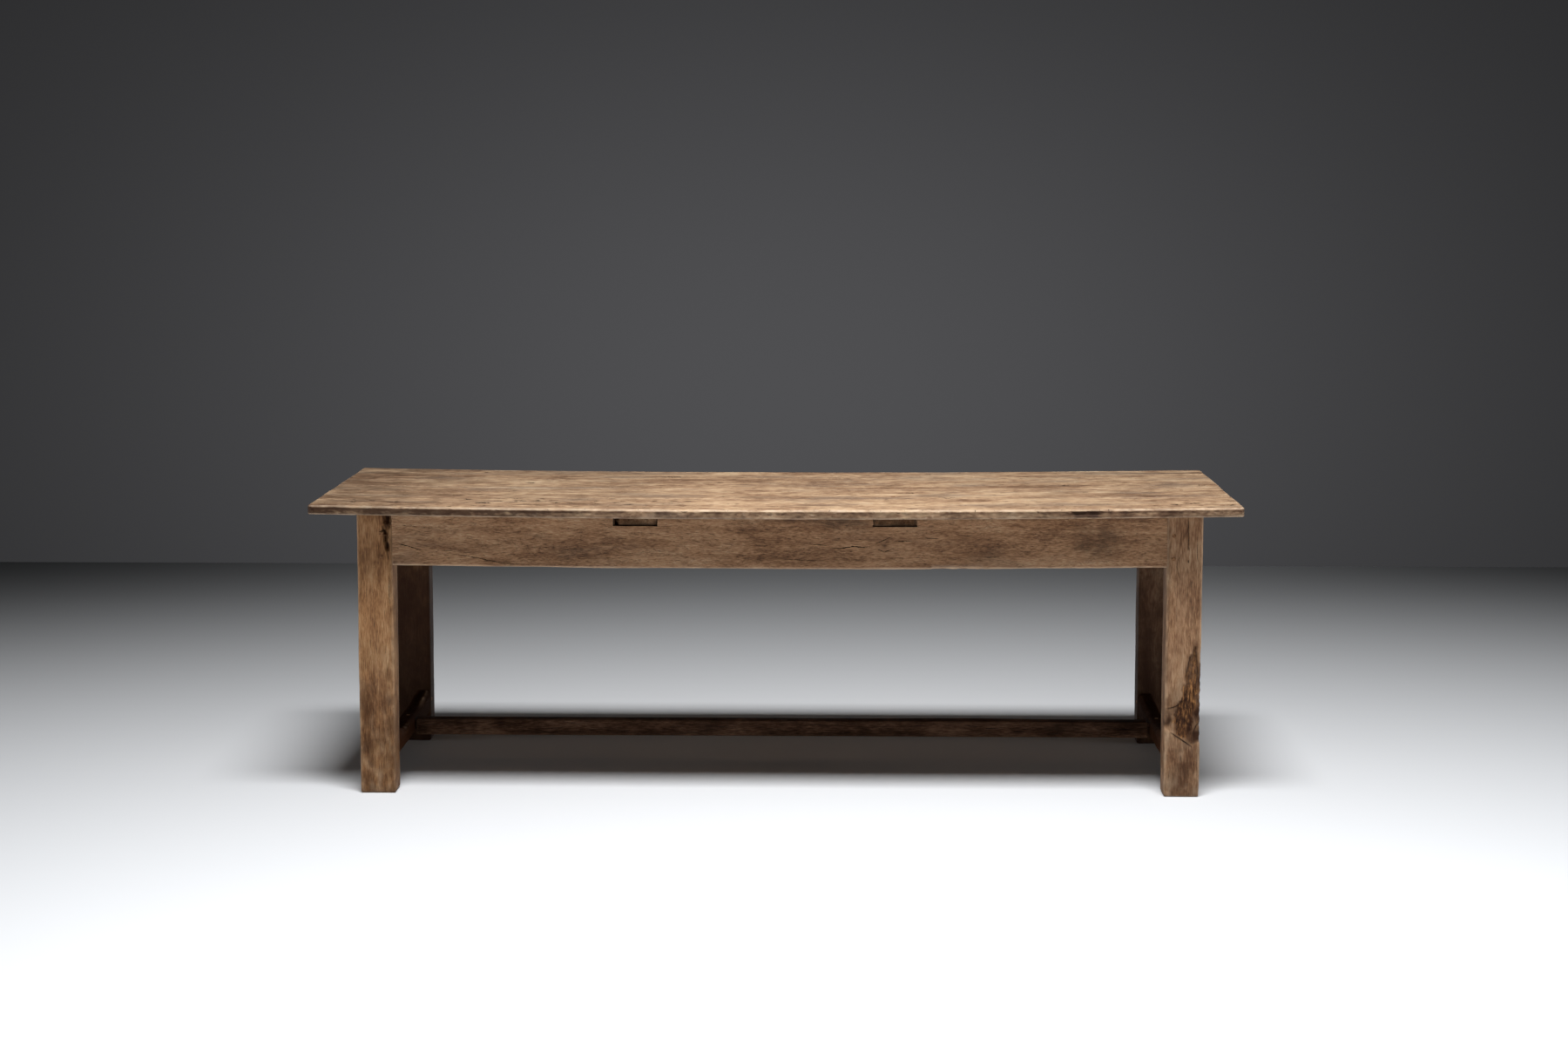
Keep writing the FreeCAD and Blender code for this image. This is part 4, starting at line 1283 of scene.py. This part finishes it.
def fibre_ridges(x, z, seed):
    """Long torn fibres, about -1 to 1."""
    return 0.7 * ripple(x * 130, 0, z * 48, seed) + 0.5 * ripple(x * 260, 0, z * 120, seed)


print("rotten at the ledge:", round(rot_share(1.045, 0.2), 2))
print("decayed by the apron:", round(decay_share(-0.975, 0.67), 2))

# %% [markdown]
# A leg gets a fine grid, so that torn fibres can be pushed in and out of it. Its foot is scuffed rounder
# than the rest, and its head follows the sag of the top.

# %% Shape a leg
def shape_leg(leg, low, high, front, side, seed):
    """A post with rubbed arrises, and with rot or decay pressed into its face."""
    step = 0.0028 if front < 0 else 0.0038
    bm = blank(low, high, 0.0015, (step, step, step))
    body_radius = even_radius(0.0048, seed)

    def radius_at(a, side_a, b, side_b, co):
        at_foot = b == 2 and side_b < 0
        inner_back = front < 0 and side_a == -side and side_b > 0
        outer_front = front > 0 and side_a == side and side_b < 0
        keen = (a, b) == (0, 1) and (inner_back or outer_front)
        return body_radius(a, side_a, b, side_b, co) * (1.5 if at_foot else 0.45 if keen else 1.0)

    for point in bm.verts:
        co = point.co
        rub_arrises(co, low, high, radius_at)
        inward = ((low + high) / 2 - co).to_2d().normalized()
        wave = 0.0010 * waves(co, 12, 12, 4, seed)
        wave += 0.0005 * waves(co, 70, 70, 12, seed)
        foot = max(0.0, 1 - co.z / 0.03)
        wave += foot * 0.0016 * (0.6 + waves(co, 45, 45, 0, seed))
        co.x += inward.x * wave
        co.y += inward.y * wave
        on_front = ease(1 - (co.y - low.y) / 0.014)
        if leg == "leg_front_right":
            share = rot_share(co.x, co.z)
            torn = torn_share(co.x, co.z, 0.0)
            co.y += on_front * share * (0.003 + 0.0035 * fibre_ridges(co.x, co.z, seed))
            co.y += on_front * torn * 0.0016 * (1 + waves(co, 80, 0, 60, seed))
            eaten = ease((co.x - 1.060) / 0.014) * torn
            co.x -= eaten * max(0.0, 0.0010 + 0.002 * waves(co, 0, 60, 80, seed))
        if leg == "leg_front_left":
            share = decay_share(co.x, co.z)
            co.y += on_front * share * (0.003 + 0.004 * fibre_ridges(co.x, co.z, seed))
            co.y += on_front * 0.012 * hole_share(co.x, co.z)
        co.z *= (high.z + sag(co.x)) / high.z
    return bm


# %% [markdown]
# Drying splits run up the faces. The front legs have the long ones that are seen, the back legs short ones
# on their inner sides, and small ones are sprinkled. The crevices of the rot cross each other, so each is
# cut alone.

# %% Cut a leg
def cut_leg(piece, number, leg, low, high, front, side, seed):
    """Takes the splits and the crevices of the rot out of a leg."""
    face_y = low.y if front < 0 else high.y

    def on_face(u, v, deep):
        return Vector((v, face_y - front * deep, u))

    def on_side(u, v, deep):
        return Vector(((low.x + deep) if side < 0 else (high.x - deep), v, u))

    def on_inner(u, v, deep):
        return Vector(((high.x - deep) if side < 0 else (low.x + deep), v, u))

    cutters = bmesh.new()
    taken = []
    if leg == "leg_front_right":
        taken += [(0.12 + 0.01 * k, 1.0 + 0.006 * j) for k in range(30) for j in range(13)]
    if front < 0:
        for count, (path, width) in enumerate(LEG_SPLITS[leg]):
            add_split(cutters, on_face, path, width, 0.012, seed + count)
            taken += path_spots(path)
    sprinkle(cutters, on_face, (0.05, low.x + 0.012), (0.56, high.x - 0.012), 18, 0.035, 0.0011, 0.003, taken,
             110 + number)
    sprinkle(cutters, on_side, (0.05, low.y + 0.014), (0.68, high.y - 0.014), 12, 0.06, 0.0014, 0.004, [],
             120 + number)
    inner_taken = []
    for count, (path, width) in enumerate(LEG_SPLITS[leg] if front > 0 else []):
        lane = (low.y + high.y) / 2
        inner_path = [(u, lane + 0.5 * (v - path[0][1])) for u, v in path]
        add_split(cutters, on_inner, inner_path, width, 0.008, seed + count)
        inner_taken += path_spots(inner_path)
    sprinkle(cutters, on_inner, (0.17, low.y + 0.014), (0.55, high.y - 0.014), 8, 0.05, 0.0014, 0.004,
             inner_taken, 130 + number)
    carve(piece, cutters, 1)
    for count, (path, width) in enumerate(ROT_CREVICES if leg == "leg_front_right" else ()):
        cutters = bmesh.new()
        add_split(cutters, on_face, path, width, 0.008, seed + count)
        carve(piece, cutters, 1)


# %% [markdown]
# A leg darkens towards the floor and has dirt at its foot. A band under the top and the sides that look
# inwards are painted dark as shade, and so are hollows, holes and creases in the rotten and decayed wood.
# The front right leg's rings sweep round the place where it has rotted.

# %% Colour a leg
# Lines of painted shade along the crevices of the rot and the long split, and a dark line of grain along the
# sweep.
SHADE_AND_GRAIN_LINES = [(path, 0.85, 0.0045) for path, width in ROT_CREVICES]
SHADE_AND_GRAIN_LINES += [(LEG_SPLITS["leg_front_right"][0][0], 0.60, 0.003), (SWEEP_LINE, 0.35, 0.004)]


def colour_leg(piece, number, leg, low, high, front, side, seed):
    """Stores the rot, rings, wear, dirt with painted shade, and tone of a leg."""
    face_y = low.y if front < 0 else high.y
    heart_x = (low.x + high.x) / 2 + 0.05 * ripple(number, 1, 0, 4.0)
    heart = Vector((heart_x, (low.y + high.y) / 2 - front * 0.05))
    sweep = 0.03 if leg == "leg_front_right" else 0.006

    def rings_at(co):
        bend = sweep * hump(co.z, 0.36, 0.22)
        across = co.x - heart.x + bend + 0.006 * waves(co, 0, 0, 3, seed)
        behind = co.y - heart.y + 0.006 * ripple(5, 0, co.z * 2.4, seed)
        return math.hypot(across, behind) + 0.0025 * waves(co, 20, 20, 5, seed)

    inner_x = high.x if side < 0 else low.x

    def wear_and_highlight_at(co):
        gap = edge_gap(Vector((co.x, co.y, min(co.z, high.z - 0.05))), low, high)
        scuffed = max(0.0, waves(co, 70, 70, 30, seed)) * max(0.0, 1 - co.z / 0.42) * 0.8
        keep = 0.3 if front > 0 else 1.0
        return min(1.0, max(0.0, 1 - gap / 0.006) * 0.45 * keep + scuffed * keep)

    def soil_at(co):
        mottle = 0.25 * waves(co, 14, 14, 12, seed)
        # Darker towards the floor.
        low_and_top_darkening = ease((0.50 - co.z) / 0.34) * ((0.66 if side < 0 else 0.48) + mottle)
        # A band of painted shade under the top.
        low_and_top_darkening = max(low_and_top_darkening, 0.42 * ease((co.z - 0.684) / 0.030))
        foot_dirt = max(0.0, 1 - co.z / 0.05) * 0.6
        # Painted shade on the sides that look inwards: nearly black on the back legs, darker low down, half
        # as dark on the front legs.
        inside = clamp(1.4 - abs(co.x - inner_x) / 0.010)
        toward_room = clamp(1.4 - abs(co.y + face_y - low.y - high.y) / 0.010)
        inward_painted_shade = (0.955 if side < 0 else 0.895) + 0.06 * waves(co, 30, 30, 11, seed)
        inward_painted_shade += 0.05 * ease((0.42 - co.z) / 0.20) - 0.03 * ease((co.z - 0.42) / 0.16)
        shaded = max(inside, toward_room) * (min(0.99, inward_painted_shade) if front > 0 else 0.52)
        dark = max(low_and_top_darkening, foot_dirt, shaded)
        on_front = ease(1.6 - (co.y - low.y) / 0.03)
        # Hollows between the pressed-in fibres are painted darker as shade.
        deep = ease(0.5 + 1.6 * fibre_ridges(co.x, co.z, seed))
        if leg == "leg_front_right":
            share = rot_share(co.x, co.z)
            torn = torn_share(co.x, co.z, TORN_SOFT) * (0.88 + 0.5 * waves(co, 60, 0, 40, seed))
            dark = max(dark * (1 - share), on_front * max(0.55 * deep * share, torn * (1 - 0.4 * share)))
            for path, strength, reach in SHADE_AND_GRAIN_LINES:
                dark = max(dark, on_front * strength * hump(path_gap(path, co.z, co.x), 0.0, reach))
        if leg == "leg_front_left":
            share = decay_share(co.x, co.z)
            # The decayed strip is darker, and its holes are painted nearly black as shade.
            strip = (0.35 + 0.5 * deep) * share
            dark = max(dark * (1 - share), on_front * max(strip, 0.97 * hole_share(co.x, co.z)))
        return min(0.97, dark)

    def rot_at(co):
        on_front = ease(1.6 - (co.y - low.y) / 0.03)
        if leg == "leg_front_right":
            warm = 0.55 + 0.45 * ease((0.32 - co.z) / 0.08)
            return on_front * max(rot_share(co.x, co.z) * warm, 0.40 * torn_share(co.x, co.z, TORN_SOFT))
        if leg == "leg_front_left":
            return 0.5 * on_front * decay_share(co.x, co.z)
        return 0.0

    store(piece, rot=rot_at, rings=rings_at, worn=wear_and_highlight_at, soil=soil_at,
          lift=lambda co: 0.05 * waves(co, 9, 9, 4.0, seed))


# %% [markdown]
# Three of the legs look a hair wider than their solids, so their blanks are widened by that before they are
# shaped. The right legs take the greyer finish.

# %% Make the legs
LEGS = ("leg_front_left", "leg_front_right", "leg_back_left", "leg_back_right")
LEG_EXTRA = 0.0015
FRONT_LEFT_EXTRA = 0.0020
for number, leg in enumerate(LEGS):
    low, high = corners(leg)
    high.z = FRAME_TOP
    front = -1 if "front" in leg else 1
    side = -1 if "left" in leg else 1
    if leg == "leg_front_left":
        high.x += FRONT_LEFT_EXTRA
    elif leg != "leg_back_right":
        low.x -= LEG_EXTRA
    seed = 80.0 + 9.1 * number
    finish = leg_oak if side < 0 else grey_leg_oak
    piece = add_piece("worn_" + leg, shape_leg(leg, low, high, front, side, seed), finish, split_dirt_and_shade_oak)
    cut_leg(piece, number, leg, low, high, front, side, seed)
    colour_leg(piece, number, leg, low, high, front, side, seed)
    finish_piece(piece, "oak_leg", leg)

# %% [markdown]
# ## The cross bearers
# Two battens lie under the boards from front to back, with their ends let into the notches of the long
# aprons, a little behind the face. Only the sawn ends are seen from the front, so these get the rough finish,
# painted dark as shade in the notches, and a corner of the left one is broken off.

# %% Make the bearers
for number, bearer in enumerate(("bearer_left", "bearer_right")):
    low, high = corners(bearer)
    seed = 150.0 + 5 * number
    bm = blank(low, high, 0.0012, (0.006, 0.008, 0.005))
    radius_at = even_radius(0.003, seed)
    for point in bm.verts:
        co = point.co
        rub_arrises(co, low, high, radius_at)
        if abs(co.y) > high.y - 0.004:
            co.y -= math.copysign(0.0012, co.y) * abs(ripple(co.x * 40, co.y, co.z * 90, seed))
            if number == 0 and co.y < 0:
                broken = ease((low.x + 0.011 + 0.005 * waves(co, 0, 0, 150, seed) - co.x) / 0.006)
                co.y += 0.012 * broken
        co.z -= 0.0006
    piece = add_piece("worn_" + bearer, bm, bearer_oak, split_dirt_and_shade_oak)
    middle = (low + high) / 2

    # Painted shade: dark at the ends, nearly black just behind them in the notches, darker along the rest.
    def soil_at(co):
        from_end = high.y - abs(co.y)
        return 0.70 if from_end < 0.008 else 0.97 if from_end < 0.03 else 0.4

    store(piece, rings=lambda co: math.hypot(co.x - middle.x + 0.02, co.z - middle.z + 0.05)
          + 0.004 * waves(co, 9, 3, 9, seed),
          worn=lambda co: max(0.0, 1 - edge_gap(co, low, high) / 0.005) * 0.4,
          soil=soil_at, lift=lambda co: 0.0)
    finish_piece(piece, "oak_bearer", bearer)

# %% [markdown]
# ## The stretchers
# A bar joins the two legs at each end, with its upper side hollowed by feet and its inner arris worn off to
# a bevel. The bars are painted nearly black as shade, and only the rim of the left one is painted pale, as
# worn wood and a highlight.

# %% Make the end stretchers
STRETCHER_WEAR = 0.014
STRETCHER_BEVEL = 0.009
GNAWED_AT = -0.12
for bar, side in (("stretcher_end_left", -1), ("stretcher_end_right", 1)):
    low, high = corners(bar)
    low.y = left_leg_high.y - LEG_REACH
    high.y = -left_leg_high.y + LEG_REACH
    inner_x = high.x if side < 0 else low.x
    seed = 170.0 + 7 * side
    bm = blank(low, high, 0.0015, (0.004, 0.004, 0.004))
    radius_at = even_radius(0.005, seed)
    for point in bm.verts:
        co = point.co
        rub_arrises(co, low, high, radius_at)
        rise = (co.z - low.z) / (high.z - low.z)
        worn = STRETCHER_WEAR * (1 - (co.y / high.y) ** 2) * rise
        from_inner = abs(co.x - inner_x)
        slope = max(0.0, STRETCHER_BEVEL * (0.7 + 0.5 * abs(co.y) / high.y) - from_inner) * rise ** 3
        gnawed = 0.008 * hump(co.y, GNAWED_AT, 0.05) * rise ** 2 if side < 0 else 0.0
        co.z -= worn + slope + gnawed * (0.6 + waves(co, 60, 60, 0, seed))
        co.z += rise * 0.0012 * waves(co, 30, 30, 0, seed)
        co.x += 0.0008 * waves(co, 0, 12, 30, seed)
    piece = add_piece("worn_" + bar, bm, end_bar_oak, split_dirt_and_shade_oak)
    middle = (low + high) / 2

    # The pale rim is worn wood and a painted highlight.
    def wear_and_highlight_at(co):
        from_inner = abs(co.x - inner_x)
        bevel = STRETCHER_BEVEL * (0.7 + 0.5 * abs(co.y) / high.y)
        drop = STRETCHER_WEAR * (1 - (co.y / high.y) ** 2) + max(0.0, bevel - from_inner)
        rim = ease(1.4 - (high.z - drop - co.z) / 0.006) * ease(1.5 - abs(from_inner - bevel) / 0.004)
        chewed = 0.8 * hump(co.y, GNAWED_AT, 0.04)
        patchy = 0.6 + 0.8 * waves(co, 70, 30, 70, seed)
        reach = max(chewed, ease((co.y - 0.06) / 0.12)) if side < 0 else 0.06
        return clamp(rim * reach * patchy)

    # Painted shade makes the bar nearly black, all but the rim.
    store(piece, rings=lambda co: math.hypot(co.x - middle.x + 0.03, co.z - middle.z + 0.04)
          + 0.004 * waves(co, 9, 4, 9, seed), worn=wear_and_highlight_at,
          soil=lambda co: 0.88 * (1 - wear_and_highlight_at(co)), lift=lambda co: 0.02 * waves(co, 9, 4, 0, seed))
    finish_piece(piece, "oak_stretcher", bar)

# %% [markdown]
# The centre bar runs between the end bars. The wood has shrunk, so its shoulders stand off a little and its
# thin tenons show in the gap.

# %% Make the centre stretcher
SHOULDER_GAP = 0.0045
TENON_HALF = 0.008
TENON_FOOT = 0.014
TENON_HEAD = 0.008
low, high = corners("stretcher_centre")
tenon_low = Vector((low.x, -TENON_HALF, low.z + TENON_FOOT))
tenon_high = Vector((high.x, TENON_HALF, high.z - TENON_HEAD))
low.x = corners("stretcher_end_left")[1].x + SHOULDER_GAP
high.x = corners("stretcher_end_right")[0].x - SHOULDER_GAP
seed = 190.0
bm = blank(low, high, 0.0015, (0.006, 0.004, 0.004))
radius_at = even_radius(0.0055, seed)
for point in bm.verts:
    co = point.co
    rub_arrises(co, low, high, radius_at)
    rise = (co.z - low.z) / (high.z - low.z)
    co.z += rise * 0.0016 * waves(co, 3, 12, 0, seed) - rise * 0.001
    co.y += 0.0012 * waves(co, 2.5, 0, 12, seed)
piece = add_piece("worn_stretcher_centre", bm, centre_bar_oak, split_dirt_and_shade_oak)
cutters = bmesh.new()
sprinkle(cutters, lambda u, v, deep: Vector((u, low.y + deep, v)), (low.x + 0.04, low.z + 0.010),
         (high.x - 0.04, high.z - 0.010), 34, 0.06, 0.002, 0.005, [], 195)
carve(piece, cutters, 1)
print("between the shoulders:", round(high.x - low.x, 3))

# %% [markdown]
# The tenons join the worn bar as two plain boxes. They go in before the colours are stored, so that their
# points get colours too.

# %% Add the tenons and colour the bar
tenons = bmesh.new()
for end_low, end_high in ((tenon_low.x, low.x + 0.004), (high.x - 0.004, tenon_high.x)):
    add_box(tenons, Vector((end_low, tenon_low.y, tenon_low.z)),
            Vector((end_high, tenon_high.y, tenon_high.z)))
bar_mesh = bmesh.new()
bar_mesh.from_mesh(piece.data)
tenon_piece = add_piece("tenons", tenons, centre_bar_oak)
bar_mesh.from_mesh(tenon_piece.data)
bar_mesh.to_mesh(piece.data)
bar_mesh.free()
bpy.data.meshes.remove(tenon_piece.data)
middle = (low + high) / 2
store(piece, rings=lambda co: math.hypot(co.y + 0.05, co.z - middle.z + 0.02)
      + 0.004 * waves(co, 2, 9, 9, seed),
      worn=lambda co: max(0.0, 1 - edge_gap(co, low, high) / 0.006) * 0.3,
      soil=lambda co: 0.2, lift=lambda co: 0.03 * waves(co, 1.5, 0, 9, seed))
finish_piece(piece, "oak_stretcher", "stretcher_centre")

# %% [markdown]
# ## The pegs
# A riven peg is never quite round. Its solid is a plain rod, so a merged copy of the solid is shaken a
# little by noise. The pegs of the top are sunk a hair below its face, as they are after years of scrubbing.

# %% Make the pegs
PEG_SHAKE = 0.0004
PEG_SINK = 0.0012
for name in PEG_NODES:
    bm = bmesh.new()
    bm.from_mesh(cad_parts[name].data)
    bmesh.ops.remove_doubles(bm, verts=bm.verts, dist=1e-5)
    for point in bm.verts:
        x, y, z = (150 * value for value in point.co)
        point.co += PEG_SHAKE * Vector([ripple(x, y, z, shift) for shift in (1.0, 4.0, 7.0)])
        if name.startswith("top_pegs"):
            point.co.z -= PEG_SINK
    piece = add_piece("riven_" + name, bm, peg_oak)
    finish_piece(piece, "oak_peg", name)
